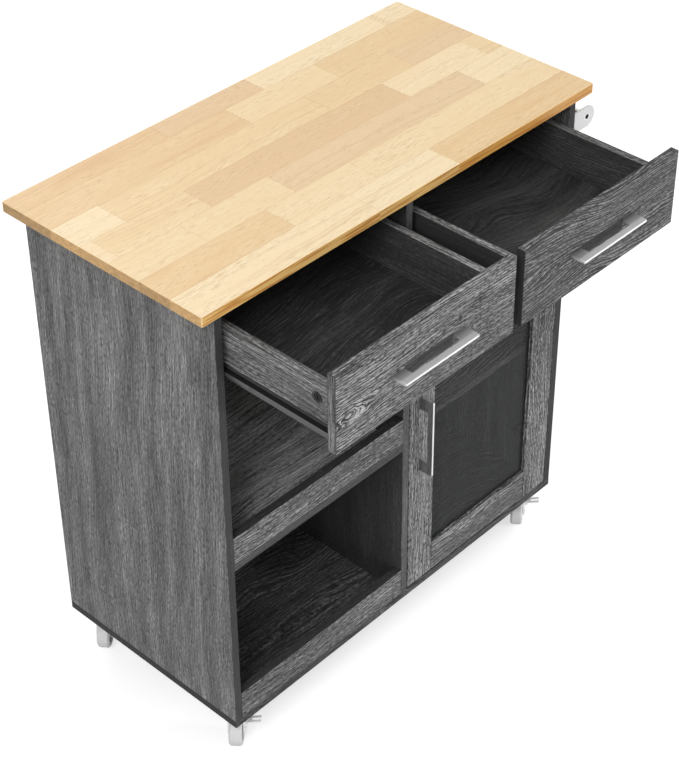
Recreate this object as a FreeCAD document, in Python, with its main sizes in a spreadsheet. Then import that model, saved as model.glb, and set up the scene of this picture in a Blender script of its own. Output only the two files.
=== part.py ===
import FreeCAD, Part
import math
import os
from types import SimpleNamespace

import Sketcher

# Kitchen cart: a wooden worktop on a laminated board carcass with two drawers,
# two open bays, a glazed door, a towel bar and four swivel casters.
# Millimetres and degrees. +X runs to the right along the front, +Y to the back, +Z up.
# The origin is at floor level, under the middle of the box round the cart as it stands
# here, with both drawers pulled out.

SIZES = {
    # Worktop
    "worktop_length": 900.0,
    "worktop_depth": 441.0,
    "worktop_thickness": 18.0,
    "worktop_side_overhang": 32.0,
    "worktop_front_overhang": 11.0,
    "worktop_back_overhang": 11.0,
    "worktop_corner_radius": 4.0,
    "worktop_edge_radius": 1.5,
    # Carcass boards
    "board": 15.0,
    "side_height": 838.0,
    "edge_ease": 0.6,
    "back_thickness": 3.0,
    "back_inset": 12.0,
    "groove_depth": 5.0,
    "groove_play": 0.2,
    "top_rail_width": 80.0,
    "top_rail_setback": 45.0,
    "middle_shelf_height": 347.0,
    "middle_lip_height": 54.0,
    "lower_lip_height": 57.0,
    # Adjustable shelf behind the door
    "cabinet_shelf_setback": 10.0,
    "cabinet_shelf_play": 1.0,
    "cabinet_shelf_rear_gap": 2.0,
    "shelf_pin_radius": 2.5,
    "shelf_pin_depth": 8.0,
    "shelf_pin_reach": 9.0,
    "shelf_pin_inset": 55.0,
    "pin_hole_play": 0.05,
    # Drawers
    "front_gap": 2.0,
    "front_top_gap": 4.5,
    "drawer_front_height": 138.0,
    "drawer_shown_travel": 220.0,
    "drawer_board": 15.0,
    "drawer_side_drop": 36.5,
    "drawer_side_height": 90.0,
    "drawer_box_length": 350.0,
    "drawer_bottom_thickness": 3.0,
    "drawer_bottom_rise": 8.0,
    "drawer_groove_depth": 5.0,
    "cam_radius": 7.5,
    "cam_depth": 12.0,
    "cam_play": 0.1,
    "cam_sunk": 0.4,
    "cam_setback": 30.0,
    "cam_drop": 27.5,
    "cam_slot_length": 9.0,
    "cam_slot_width": 2.0,
    "cam_slot_depth": 3.0,
    # Drawer runners, pressed from sheet
    "runner_gap": 13.0,
    "runner_sheet": 1.2,
    "runner_web_height": 24.0,
    "runner_flange_rise": 19.0,
    "runner_lip_gap": 3.0,
    "runner_lip_height": 6.5,
    "runner_notch_length": 8.0,
    "runner_notch_place": 148.0,
    "runner_foot_width": 12.0,
    "track_width": 11.0,
    "track_lip_height": 2.6,
    "track_web_height": 25.0,
    "roller_radius": 9.5,
    "roller_width": 4.8,
    "roller_start": 4.6,
    "roller_edge": 0.8,
    "roller_pin_radius": 2.0,
    "roller_pin_play": 0.06,
    "roller_inset": 13.0,
    "roller_play": 0.3,
    "roller_headroom": 0.5,
    # Pulls
    "pull_length": 160.0,
    "pull_projection": 28.0,
    "pull_bar_depth": 10.0,
    "pull_leg_width": 25.0,
    "pull_thickness": 6.5,
    "pull_leg_step": 0.5,
    "pull_slope": 1.4,
    "pull_edge": 0.4,
    "pull_corner": 1.5,
    "pull_hole_spacing": 136.0,
    "pull_drop": 66.0,
    "pull_hole_radius": 2.0,
    "pull_hole_depth": 12.0,
    "pull_screw_radius": 1.9,
    "pull_screw_bite": 9.0,
    "pull_screw_head_radius": 4.0,
    "pull_screw_head_height": 2.2,
    "pull_screw_clearance": 0.35,
    # Door
    "door_bottom_gap": 3.0,
    "door_top_gap": 3.0,
    "door_stile_width": 64.0,
    "door_rail_width": 64.0,
    "glass_setback": 6.5,
    "glass_thickness": 4.0,
    "glass_rebate": 8.0,
    "glass_play": 1.0,
    "glass_bead_width": 7.0,
    "glass_bead_gap": 0.2,
    "door_pull_inset": 28.5,
    "door_pull_rise": 341.0,
    # Concealed hinges
    "hinge_cup_radius": 17.5,
    "hinge_cup_depth": 11.5,
    "hinge_cup_play": 0.1,
    "hinge_cup_wall": 1.2,
    "hinge_cup_inset": 22.5,
    "hinge_flange_thickness": 1.2,
    "hinge_flange_height": 52.0,
    "hinge_screw_play": 0.2,
    "hinge_end_inset": 90.0,
    "hinge_plate_thickness": 3.0,
    "hinge_plate_depth": 34.0,
    "hinge_plate_height": 50.0,
    "hinge_plate_setback": 37.0,
    "hinge_plate_corner": 4.0,
    "hinge_middle_height": 24.0,
    "hinge_wing_depth": 17.0,
    "hinge_screw_margin": 8.0,
    "hinge_arm_height": 12.0,
    "hinge_arm_thickness": 9.0,
    "hinge_arm_length": 58.0,
    "hinge_arm_gap": 0.3,
    "hinge_arm_edge": 1.5,
    "hinge_arm_taper": 3.0,
    "hinge_adjuster_radius": 3.2,
    "hinge_adjuster_depth": 1.5,
    "hinge_adjuster_place": 20.0,
    "hinge_adjuster_spacing": 24.0,
    # Towel bar on the right side
    "towel_ear_thickness": 3.0,
    "towel_ear_height": 40.0,
    "towel_bar_standoff": 35.0,
    "towel_bar_drop": 52.0,
    "towel_bar_radius": 6.35,
    "towel_bar_wall": 1.6,
    "towel_bar_play": 0.05,
    "towel_foot_depth": 28.0,
    "towel_bend_radius": 2.5,
    "towel_screw_spread": 20.0,
    "towel_screw_setback": 16.0,
    # Casters
    "caster_height": 75.0,
    "caster_side_inset": 42.0,
    "caster_end_inset": 41.0,
    "caster_plate_width": 42.0,
    "caster_plate_thickness": 2.0,
    "caster_plate_corner": 5.0,
    "caster_hole_spacing": 30.0,
    "caster_trail": 18.0,
    "caster_trail_angle": 218.0,
    "race_radius": 14.0,
    "race_height": 2.7,
    "race_play": 0.3,
    "kingpin_radius": 4.0,
    "kingpin_play": 0.05,
    "kingpin_head_radius": 7.0,
    "kingpin_head_height": 2.0,
    "fork_sheet": 2.5,
    "fork_crown_front": 16.0,
    "fork_crown_back": 22.0,
    "fork_front_drop": 10.0,
    "fork_eye_radius": 9.0,
    "fork_corner": 4.0,
    "fork_bend_radius": 2.0,
    "wheel_radius": 28.0,
    "wheel_width": 22.0,
    "wheel_side_gap": 1.0,
    "wheel_shoulder": 3.0,
    "wheel_hub_radius": 8.0,
    "wheel_rim_radius": 19.0,
    "wheel_recess": 4.0,
    "axle_radius": 3.0,
    "axle_play": 0.05,
    "axle_head_radius": 5.0,
    "axle_head_height": 1.5,
    # Brake lever on the side of each front fork
    "brake_pin_radius": 1.5,
    "brake_pin_height": 47.0,
    "brake_pin_offset": 3.0,
    "brake_pin_play": 0.06,
    "brake_centre": 12.0,
    "brake_width": 14.0,
    "brake_lug_width": 2.0,
    "brake_lug_play": 0.3,
    "brake_lug_radius": 2.6,
    "brake_knuckle_radius": 2.5,
    "brake_sheet": 1.6,
    "brake_reach": 24.0,
    "brake_prong_gap": 5.0,
    "brake_prong_length": 15.0,
    "brake_tip_lift": 4.0,
    "brake_shoe_drop": 9.0,
    "brake_shoe_width": 8.0,
    "brake_slot_play": 0.6,
    # Wood screws
    "screw_radius": 1.75,
    "screw_head_radius": 3.5,
    "screw_head_height": 1.8,
    "screw_length": 12.0,
    "screw_hole_play": 0.25,
    "screw_pilot_play": 0.05,
}

# Tolerance that finds edges by their place
NEAR = 1e-4

doc = FreeCAD.newDocument("kitchen_cart")
sheet = doc.addObject("Spreadsheet::Sheet", "Sizes")
parts = []


class Length:
    """A length with the sheet expression that it came from."""

    def __init__(self, value, text):
        self.value = value
        self.text = text

    def __add__(self, other):
        other = as_length(other)
        return Length(self.value + other.value, "(%s + %s)" % (self.text, other.text))

    def __sub__(self, other):
        other = as_length(other)
        return Length(self.value - other.value, "(%s - %s)" % (self.text, other.text))

    def __mul__(self, share):
        share = as_length(share)
        return Length(self.value * share.value, "(%s * %s)" % (self.text, share.text))

    def __truediv__(self, share):
        share = as_length(share)
        return Length(self.value / share.value, "(%s / %s)" % (self.text, share.text))

    def __neg__(self):
        return Length(-self.value, "(0 - %s)" % self.text)

    def __radd__(self, other):
        return as_length(other) + self

    def __rsub__(self, other):
        return as_length(other) - self

    __rmul__ = __mul__


def as_length(value):
    if isinstance(value, Length):
        return value
    return Length(float(value), "%.12g" % value)


def fill_sheet():
    lengths = {}
    for row, (alias, value) in enumerate(SIZES.items(), start=1):
        sheet.set("A%d" % row, alias)
        sheet.set("B%d" % row, "%.12g" % value)
        sheet.setAlias("B%d" % row, alias)
        lengths[alias] = Length(value, "Sizes." + alias)
    doc.recompute()
    return SimpleNamespace(**lengths)


size = fill_sheet()
zero = as_length(0)

# Shared places, from the front left corner of the worktop and the floor
carcass_left = size.worktop_side_overhang
carcass_right = size.worktop_length - size.worktop_side_overhang
carcass_width = carcass_right - carcass_left
carcass_front = size.worktop_front_overhang
carcass_back = size.worktop_depth - size.worktop_back_overhang
carcass_depth = carcass_back - carcass_front
base_bottom = size.caster_height
base_top = base_bottom + size.board
worktop_bottom = base_top + size.side_height
inner_left = carcass_left + size.board
inner_right = carcass_right - size.board
inner_width = inner_right - inner_left
bay_width = (inner_width - size.board) / 2
divider_left = inner_left + bay_width
divider_right = divider_left + size.board
back_rear_face = carcass_back - size.back_inset
back_front_face = back_rear_face - size.back_thickness
middle_shelf_top = base_top + size.middle_shelf_height

# Drawer places, with the drawers shut
front_width = bay_width - size.front_gap * 2
drawer_front_top = worktop_bottom - size.front_top_gap
drawer_front_bottom = drawer_front_top - size.drawer_front_height
drawer_front_back = carcass_front + size.drawer_board
drawer_side_top = drawer_front_top - size.drawer_side_drop
drawer_side_bottom = drawer_side_top - size.drawer_side_height
drawer_width = bay_width - size.runner_gap * 2
drawer_inner_width = drawer_width - size.drawer_board * 2
drawer_rear = drawer_front_back + size.drawer_box_length
drawer_bottom_under = drawer_side_bottom + size.drawer_bottom_rise
drawer_bottom_top = drawer_bottom_under + size.drawer_bottom_thickness

# Runner heights
flange_top = drawer_side_bottom + size.runner_flange_rise
flange_under = flange_top - size.runner_sheet
drawer_roller_height = flange_under - size.roller_headroom - size.roller_radius
cabinet_roller_height = flange_under - size.roller_play - size.roller_radius
track_top = drawer_roller_height - size.roller_radius - size.roller_play
track_under = track_top - size.runner_sheet
cabinet_roller_place = drawer_front_back + size.front_gap + size.roller_inset
drawer_roller_place = drawer_front_back + size.drawer_box_length - size.roller_inset

# Door places
door_left = divider_right + size.front_gap
door_right = door_left + front_width
door_bottom = base_top + size.door_bottom_gap
door_top = drawer_front_bottom - size.door_top_gap
door_height = door_top - door_bottom
door_back = carcass_front + size.board

# Towel bar places
towel_bar_across = carcass_right + size.towel_bar_standoff
towel_bar_height = worktop_bottom - size.towel_bar_drop
towel_reach = towel_bar_across + size.towel_ear_height / 2

# The box round the cart, with the drawers at their shown travel
cart_front = carcass_front - size.drawer_shown_travel - size.pull_projection
centre_x = towel_reach / 2
centre_y = (cart_front + size.worktop_depth) / 2

PLANE_NORMAL_SIGN = {"XY_Plane": 1, "XZ_Plane": -1, "YZ_Plane": 1}


def new_body(label, corner, rotation=None, several=False):
    """Start a body whose own origin lies at corner, given from the worktop's front left."""
    body = doc.addObject("PartDesign::Body", label)
    body.Label = label
    body.AllowCompound = several
    if rotation:
        body.Placement = FreeCAD.Placement(FreeCAD.Vector(), rotation)
    for axis, place, middle in zip("xyz", corner, (centre_x, centre_y, zero)):
        body.setExpression("Placement.Base." + axis, (as_length(place) - middle).text)
    parts.append(body)
    return body


def new_sketch(body, plane, offset=zero):
    """Start a sketch on one of the body's origin planes, moved along the plane's own axis."""
    sketch = body.newObject("Sketcher::SketchObject", body.Name + "_sketch")
    support = [item for item in body.Origin.OriginFeatures if item.Role == plane][0]
    sketch.AttachmentSupport = [(support, "")]
    sketch.MapMode = "FlatFace"
    offset = as_length(offset)
    if PLANE_NORMAL_SIGN[plane] < 0:
        offset = -offset
    if offset.value != 0:
        sketch.setExpression("AttachmentOffset.Base.z", offset.text)
    return sketch


def pin_point(sketch, geometry, point, across, up):
    """Tie a point of a sketch to its place from the sketch's origin."""
    for kind, axis, place in (("DistanceX", -2, across), ("DistanceY", -1, up)):
        place = as_length(place)
        if place.value == 0:
            sketch.addConstraint(Sketcher.Constraint("PointOnObject", geometry, point, axis))
        else:
            constraint = Sketcher.Constraint(kind, -1, 1, geometry, point, place.value)
            index = sketch.addConstraint(constraint)
            sketch.setExpression("Constraints[%d]" % index, place.text)


def draw_outline(sketch, points):
    """Draw a closed outline of straight lines through the given points."""
    first = sketch.GeometryCount
    count = len(points)
    corners = [FreeCAD.Vector(as_length(across).value, as_length(up).value, 0) for across, up in points]
    for index in range(count):
        sketch.addGeometry(Part.LineSegment(corners[index], corners[(index + 1) % count]), False)
    for index in range(count):
        following = first + (index + 1) % count
        sketch.addConstraint(Sketcher.Constraint("Coincident", first + index, 2, following, 1))
    for index, (across, up) in enumerate(points):
        pin_point(sketch, first + index, 1, across, up)


def draw_rectangle(sketch, left, low, right, high):
    draw_outline(sketch, [(left, low), (right, low), (right, high), (left, high)])


def draw_circle(sketch, across, up, radius):
    centre = FreeCAD.Vector(as_length(across).value, as_length(up).value, 0)
    geometry = sketch.addGeometry(Part.Circle(centre, FreeCAD.Vector(0, 0, 1), radius.value), False)
    index = sketch.addConstraint(Sketcher.Constraint("Radius", geometry, radius.value))
    sketch.setExpression("Constraints[%d]" % index, radius.text)
    pin_point(sketch, geometry, 3, across, up)


def normal_sign(sketch):
    return PLANE_NORMAL_SIGN[sketch.AttachmentSupport[0][0].Role]


def add_pad(body, sketch, length, towards=1):
    """Raise a sketch by a length, towards the plus or minus side of its plane's axis."""
    pad = body.newObject("PartDesign::Pad", body.Name + "_pad")
    pad.Profile = sketch
    pad.Length = as_length(length).value
    pad.setExpression("Length", as_length(length).text)
    pad.Reversed = towards != normal_sign(sketch)
    sketch.Visibility = False
    return pad


def add_pocket(body, sketch, depth, towards):
    """Cut a sketch into the body, and make sure that it took something away."""
    doc.recompute()
    before = body.Shape.Volume
    pocket = body.newObject("PartDesign::Pocket", body.Name + "_pocket")
    pocket.Profile = sketch
    pocket.Length = as_length(depth).value
    pocket.setExpression("Length", as_length(depth).text)
    pocket.Reversed = towards == normal_sign(sketch)
    doc.recompute()
    if body.Shape.isNull() or body.Shape.Volume >= before:
        raise RuntimeError("a pocket cut nothing from " + body.Label)
    return pocket


def add_revolution(body, sketch, axis_name):
    revolution = body.newObject("PartDesign::Revolution", body.Name + "_revolution")
    revolution.Profile = sketch
    revolution.ReferenceAxis = (sketch, [axis_name])
    revolution.Angle = 360.0
    return revolution


def dress_edges(body, kind, edge_size, wanted):
    """Round or chamfer the edges of the body that the wanted test accepts."""
    doc.recompute()
    base = body.Tip
    names = ["Edge%d" % (index + 1) for index, edge in enumerate(base.Shape.Edges) if wanted(edge.BoundBox)]
    if not names:
        raise RuntimeError("no edges to dress on " + body.Label)
    dress = body.newObject("PartDesign::" + kind, body.Name + "_" + kind.lower())
    dress.Base = (base, names)
    name = "Radius" if kind == "Fillet" else "Size"
    setattr(dress, name, edge_size.value)
    dress.setExpression(name, edge_size.text)
    return dress


def is_at(place, length):
    return abs(place - as_length(length).value) < NEAR


def runs_along(box, axis):
    """Say whether an edge's box is long on one axis only."""
    spans = {"x": box.XLength, "y": box.YLength, "z": box.ZLength}
    along = spans.pop(axis)
    return along > NEAR and max(spans.values()) < NEAR


def drill(body, plane, offset, centres, radius, depth, towards):
    sketch = new_sketch(body, plane, offset)
    for across, up in centres:
        draw_circle(sketch, across, up, radius)
    add_pocket(body, sketch, depth, towards)


def add_discs(body, plane, offset, centres, radius, length, towards=1):
    sketch = new_sketch(body, plane, offset)
    for across, up in centres:
        draw_circle(sketch, across, up, radius)
    add_pad(body, sketch, length, towards)


def add_screws(body, plane, offset, centres, head_radius, head_height, radius, length, towards):
    """Add round-headed screws whose heads stand on a plane and whose shanks run on from it."""
    add_discs(body, plane, offset, centres, head_radius, head_height, -towards)
    add_discs(body, plane, offset, centres, radius, length, towards)


def make_board(label, corner, width, depth, height):
    """A plain board, from its low corner."""
    body = new_body(label, corner)
    sketch = new_sketch(body, "XY_Plane")
    draw_rectangle(sketch, zero, zero, width, depth)
    add_pad(body, sketch, height)
    return body


def ease_front(body):
    """Break the upright edges at a board's front."""
    def wanted(box):
        return runs_along(box, "z") and is_at(box.YMin, zero)
    dress_edges(body, "Chamfer", size.edge_ease, wanted)


def ease_face(body):
    """Break the four edges round a front's face."""
    def wanted(box):
        return is_at(box.YMin, zero) and is_at(box.YMax, zero) and not runs_along(box, "y")
    dress_edges(body, "Chamfer", size.edge_ease, wanted)


def cosine(angle):
    return Length(math.cos(math.radians(angle.value)), "cos(%s * 1 deg)" % angle.text)


def sine(angle):
    return Length(math.sin(math.radians(angle.value)), "sin(%s * 1 deg)" % angle.text)


# Worktop

def make_worktop():
    worktop = make_board("worktop", (zero, zero, worktop_bottom),
                         size.worktop_length, size.worktop_depth, size.worktop_thickness)
    dress_edges(worktop, "Fillet", size.worktop_corner_radius, lambda box: runs_along(box, "z"))
    dress_edges(worktop, "Fillet", size.worktop_edge_radius,
                lambda box: is_at(box.ZMin, zero) and is_at(box.ZMax, zero)
                or is_at(box.ZMin, size.worktop_thickness) and is_at(box.ZMax, size.worktop_thickness))


# Carcass

def screw_places():
    """Where the screws of each fitting go in, in the frame of the worktop's front left corner."""
    places = SimpleNamespace()
    half = size.towel_screw_spread / 2
    heights = (towel_bar_height - half, towel_bar_height + half)
    front_row = carcass_front + size.towel_screw_setback
    back_row = carcass_back - size.towel_screw_setback
    places.towel = [(row, height) for row in (front_row, back_row) for height in heights]
    hinge_row = door_back + size.hinge_plate_setback
    spread = size.hinge_plate_height / 2 - size.hinge_screw_margin
    places.hinge = [(hinge_row, height + side * spread) for height in hinge_heights for side in (-1, 1)]
    spacing = size.caster_hole_spacing / 2
    places.caster = [(across + side * spacing, along + end * spacing)
                     for across, along in caster_pivots for side in (-1, 1) for end in (-1, 1)]
    return places


hinge_heights = (door_bottom + size.hinge_end_inset, door_top - size.hinge_end_inset)
caster_left = carcass_left + size.caster_side_inset
caster_right = carcass_right - size.caster_side_inset
caster_front = carcass_front + size.caster_end_inset
caster_back = carcass_back - size.caster_end_inset
caster_places = {
    "front_left": (caster_left, caster_front),
    "front_right": (caster_right, caster_front),
    "back_left": (caster_left, caster_back),
    "back_right": (caster_right, caster_back),
}
caster_pivots = list(caster_places.values())
screws = screw_places()


def cut_back_groove(body, left, right):
    """Cut the upright groove that holds the back panel."""
    sketch = new_sketch(body, "XY_Plane")
    draw_rectangle(sketch, left, back_front_face - carcass_front - size.groove_play,
                   right, back_rear_face - carcass_front + size.groove_play)
    add_pocket(body, sketch, size.side_height, 1)


def shelf_pin_places(front, low):
    """Centres of a board's two shelf pins, from that board's own front and foot."""
    height = middle_shelf_top - size.board - size.shelf_pin_radius - low
    first = cabinet_shelf_front + size.shelf_pin_inset - front
    second = cabinet_shelf_back - size.shelf_pin_inset - front
    return [(first, height), (second, height)]


cabinet_shelf_front = door_back + size.cabinet_shelf_setback
cabinet_shelf_back = back_front_face - size.cabinet_shelf_rear_gap


def make_carcass():
    pilot = size.screw_radius + size.screw_pilot_play
    pin_hole = size.shelf_pin_radius + size.pin_hole_play
    inner_depth = back_front_face - carcass_front

    left = make_board("side_panel_left", (carcass_left, carcass_front, base_top),
                      size.board, carcass_depth, size.side_height)
    cut_back_groove(left, size.board - size.groove_depth, size.board)
    ease_front(left)

    right = make_board("side_panel_right", (inner_right, carcass_front, base_top),
                       size.board, carcass_depth, size.side_height)
    cut_back_groove(right, zero, size.groove_depth)
    drill(right, "YZ_Plane", zero, shelf_pin_places(carcass_front, base_top), pin_hole,
          size.shelf_pin_depth, 1)
    drill(right, "YZ_Plane", zero,
          [(row - carcass_front, height - base_top) for row, height in screws.hinge],
          pilot, size.screw_length, 1)
    drill(right, "YZ_Plane", size.board,
          [(row - carcass_front, height - base_top) for row, height in screws.towel],
          pilot, size.screw_length, -1)
    ease_front(right)

    base = make_board("base_panel", (carcass_left, carcass_front, base_bottom),
                      carcass_width, carcass_depth, size.board)
    groove = new_sketch(base, "XY_Plane", size.board)
    draw_rectangle(groove, size.board - size.groove_depth,
                   back_front_face - carcass_front - size.groove_play,
                   carcass_width - size.board + size.groove_depth,
                   back_rear_face - carcass_front + size.groove_play)
    add_pocket(base, groove, size.groove_depth, -1)
    drill(base, "XY_Plane", zero,
          [(across - carcass_left, along - carcass_front) for across, along in screws.caster],
          pilot, size.screw_length, 1)
    dress_edges(base, "Chamfer", size.edge_ease,
                lambda box: runs_along(box, "x") and is_at(box.YMin, zero))

    divider = make_board("centre_divider", (divider_left, carcass_front, base_top),
                         size.board, inner_depth, size.side_height)
    drill(divider, "YZ_Plane", size.board, shelf_pin_places(carcass_front, base_top), pin_hole,
          size.shelf_pin_depth, -1)
    ease_front(divider)

    slack = size.groove_depth - size.groove_play
    make_board("back_panel", (inner_left - slack, back_front_face, base_top - slack),
               inner_width + slack * 2, size.back_thickness, size.side_height + slack)

    make_board("middle_shelf", (inner_left, carcass_front, middle_shelf_top - size.board),
               bay_width, inner_depth, size.board)
    make_board("middle_shelf_lip", (inner_left, carcass_front, middle_shelf_top),
               bay_width, size.board, size.middle_lip_height)
    make_board("lower_shelf_lip", (inner_left, carcass_front, base_top),
               bay_width, size.board, size.lower_lip_height)
    for name, bay_left in (("top_rail_left", inner_left), ("top_rail_right", divider_right)):
        make_board(name, (bay_left, carcass_front + size.top_rail_setback, worktop_bottom - size.board),
                   bay_width, size.top_rail_width, size.board)


def make_cabinet_shelf():
    play = size.cabinet_shelf_play
    make_board("cabinet_shelf", (divider_right + play, cabinet_shelf_front, middle_shelf_top - size.board),
               bay_width - play * 2, cabinet_shelf_back - cabinet_shelf_front, size.board)
    pins = new_body("shelf_pins", (divider_right - size.shelf_pin_depth, carcass_front, base_top),
                    several=True)
    length = size.shelf_pin_depth + size.shelf_pin_reach
    centres = shelf_pin_places(carcass_front, base_top)
    add_discs(pins, "YZ_Plane", zero, centres, size.shelf_pin_radius, length)
    add_discs(pins, "YZ_Plane", bay_width + size.shelf_pin_depth - size.shelf_pin_reach, centres,
              size.shelf_pin_radius, length)


# Pulls

def make_pull(label, corner, rotation):
    """A flat bridge pull: a bar that narrows to its front, on two wide legs drilled for its screws."""
    pull = new_body(label, corner, rotation)
    sketch = new_sketch(pull, "XY_Plane")
    long = size.pull_length
    leg = size.pull_leg_width
    gap_end = size.pull_projection - size.pull_bar_depth
    draw_outline(sketch, [(zero, zero), (leg, zero), (leg, gap_end), (long - leg, gap_end),
                          (long - leg, zero), (long, zero), (long, size.pull_projection),
                          (zero, size.pull_projection)])
    add_pad(pull, sketch, size.pull_thickness)
    for face, towards in ((size.pull_thickness, -1), (zero, 1)):
        step = new_sketch(pull, "XY_Plane", face)
        draw_rectangle(step, zero, zero, leg, gap_end)
        draw_rectangle(step, long - leg, zero, long, gap_end)
        add_pocket(pull, step, size.pull_leg_step, towards)
    drill(pull, "XZ_Plane", zero, pull_hole_places(long / 2, size.pull_thickness / 2),
          size.pull_hole_radius, size.pull_hole_depth, 1)
    dress_edges(pull, "Fillet", size.pull_corner,
                lambda box: runs_along(box, "z") and is_at(box.YMin, size.pull_projection))
    for face, inward in ((size.pull_thickness, -1), (zero, 1)):
        slope = new_sketch(pull, "YZ_Plane")
        draw_outline(slope, [(gap_end, face), (size.pull_projection, face),
                             (size.pull_projection, face + size.pull_slope * inward)])
        add_pocket(pull, slope, long, 1)
    dress_edges(pull, "Chamfer", size.pull_edge,
                lambda box: runs_along(box, "x") and is_at(box.YMin, size.pull_projection))


def pull_hole_places(middle, height):
    half = size.pull_hole_spacing / 2
    return [(middle - half, height), (middle + half, height)]


def add_pull_screws(body, board_back, places):
    """Screws from behind a front into a pull, with their heads on the board's back."""
    add_screws(body, "XZ_Plane", board_back, places, size.pull_screw_head_radius,
               size.pull_screw_head_height, size.pull_screw_radius,
               size.board + size.pull_screw_bite, -1)


# Drawers

def make_drawer(name, bay_left):
    out = size.drawer_shown_travel
    board = size.drawer_board
    front_y = carcass_front - out
    box_front = drawer_front_back - out
    box_left = bay_left + size.runner_gap
    clearance = size.pull_screw_radius + size.pull_screw_clearance
    pull_height = size.drawer_front_height - size.pull_drop
    groove_low = size.drawer_bottom_rise - size.groove_play
    groove_high = size.drawer_bottom_rise + size.drawer_bottom_thickness + size.groove_play
    groove_in = board - size.drawer_groove_depth

    front = make_board(name + "_front", (bay_left + size.front_gap, front_y, drawer_front_bottom),
                       front_width, board, size.drawer_front_height)
    drill(front, "XZ_Plane", zero, pull_hole_places(front_width / 2, pull_height), clearance, board, 1)
    groove = new_sketch(front, "XZ_Plane", board)
    side_lift = drawer_side_bottom - drawer_front_bottom
    groove_left = size.runner_gap - size.front_gap + groove_in
    draw_rectangle(groove, groove_left, side_lift + groove_low,
                   front_width - groove_left, side_lift + groove_high)
    add_pocket(front, groove, size.drawer_groove_depth, -1)
    ease_face(front)

    cam_place = [(size.cam_setback, size.drawer_side_height - size.cam_drop)]
    cam_bore = size.cam_radius + size.cam_play
    for hand, left, cam_face, inward, groove_from, groove_to in (
            ("left", box_left, zero, 1, groove_in, board),
            ("right", box_left + drawer_width - board, board, -1, zero, size.drawer_groove_depth)):
        side = make_board(name + "_side_" + hand, (left, box_front, drawer_side_bottom),
                          board, size.drawer_box_length, size.drawer_side_height)
        slot = new_sketch(side, "XZ_Plane")
        draw_rectangle(slot, groove_from, groove_low, groove_to, groove_high)
        add_pocket(side, slot, size.drawer_box_length, 1)
        drill(side, "YZ_Plane", cam_face, cam_place, cam_bore, size.cam_depth, inward)

    make_board(name + "_back", (box_left + board, drawer_rear - board - out, drawer_bottom_top),
               drawer_inner_width, board, drawer_side_top - drawer_bottom_top)
    slack = size.drawer_groove_depth - size.groove_play
    make_board(name + "_bottom", (box_left + board - slack, box_front - slack, drawer_bottom_under),
               drawer_inner_width + slack * 2, size.drawer_box_length + slack, size.drawer_bottom_thickness)

    half_turn = FreeCAD.Rotation(FreeCAD.Vector(0, 0, 1), 180)
    pull_right = bay_left + (bay_width + size.pull_length) / 2
    pull_bottom = drawer_front_bottom + pull_height - size.pull_thickness / 2
    make_pull(name + "_pull", (pull_right, front_y, pull_bottom), half_turn)

    fasteners = new_body(name + "_fasteners", (bay_left, box_front, drawer_side_bottom), several=True)
    add_pull_screws(fasteners, zero, pull_hole_places(bay_width / 2, pull_height - side_lift))
    cam_length = size.cam_depth - size.cam_sunk
    left_face = size.runner_gap + size.cam_sunk
    right_face = size.runner_gap + drawer_width - size.cam_sunk
    add_discs(fasteners, "YZ_Plane", left_face, cam_place, size.cam_radius, cam_length)
    add_discs(fasteners, "YZ_Plane", right_face, cam_place, size.cam_radius, cam_length, -1)
    for face, inward in ((left_face, 1), (right_face, -1)):
        along, up = cam_place[0]
        slot = new_sketch(fasteners, "YZ_Plane", face)
        draw_rectangle(slot, along - size.cam_slot_length / 2, up - size.cam_slot_width / 2,
                       along + size.cam_slot_length / 2, up + size.cam_slot_width / 2)
        add_pocket(fasteners, slot, size.cam_slot_depth, inward)

    make_drawer_runners(name, bay_left, box_front)


def mirrored(points):
    """Carry a runner's section across to the other side of its bay."""
    return [(bay_width - across, up) for across, up in points]


def drawer_runner_section():
    """The drawer member: a foot under the side, a web, and a hooked flange over the roller."""
    sheet_metal = size.runner_sheet
    web = size.runner_gap - sheet_metal
    foot = size.runner_gap + size.runner_foot_width
    top = sheet_metal + size.runner_web_height
    flange = sheet_metal + size.runner_flange_rise
    lip = size.runner_lip_gap
    lip_low = flange - size.runner_lip_height
    return [(web, zero), (foot, zero), (foot, sheet_metal), (size.runner_gap, sheet_metal),
            (size.runner_gap, top), (web, top), (web, flange), (lip, flange), (lip, lip_low),
            (lip + sheet_metal, lip_low), (lip + sheet_metal, size.runner_flange_rise),
            (web, size.runner_flange_rise)]


def cabinet_runner_section():
    """The cabinet member: a web on the carcass and a lipped track at its foot."""
    sheet_metal = size.runner_sheet
    wide = size.track_width
    lip = sheet_metal + size.track_lip_height
    return [(zero, zero), (wide, zero), (wide, lip), (wide - sheet_metal, lip),
            (wide - sheet_metal, sheet_metal), (sheet_metal, sheet_metal),
            (sheet_metal, size.track_web_height), (zero, size.track_web_height)]


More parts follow.
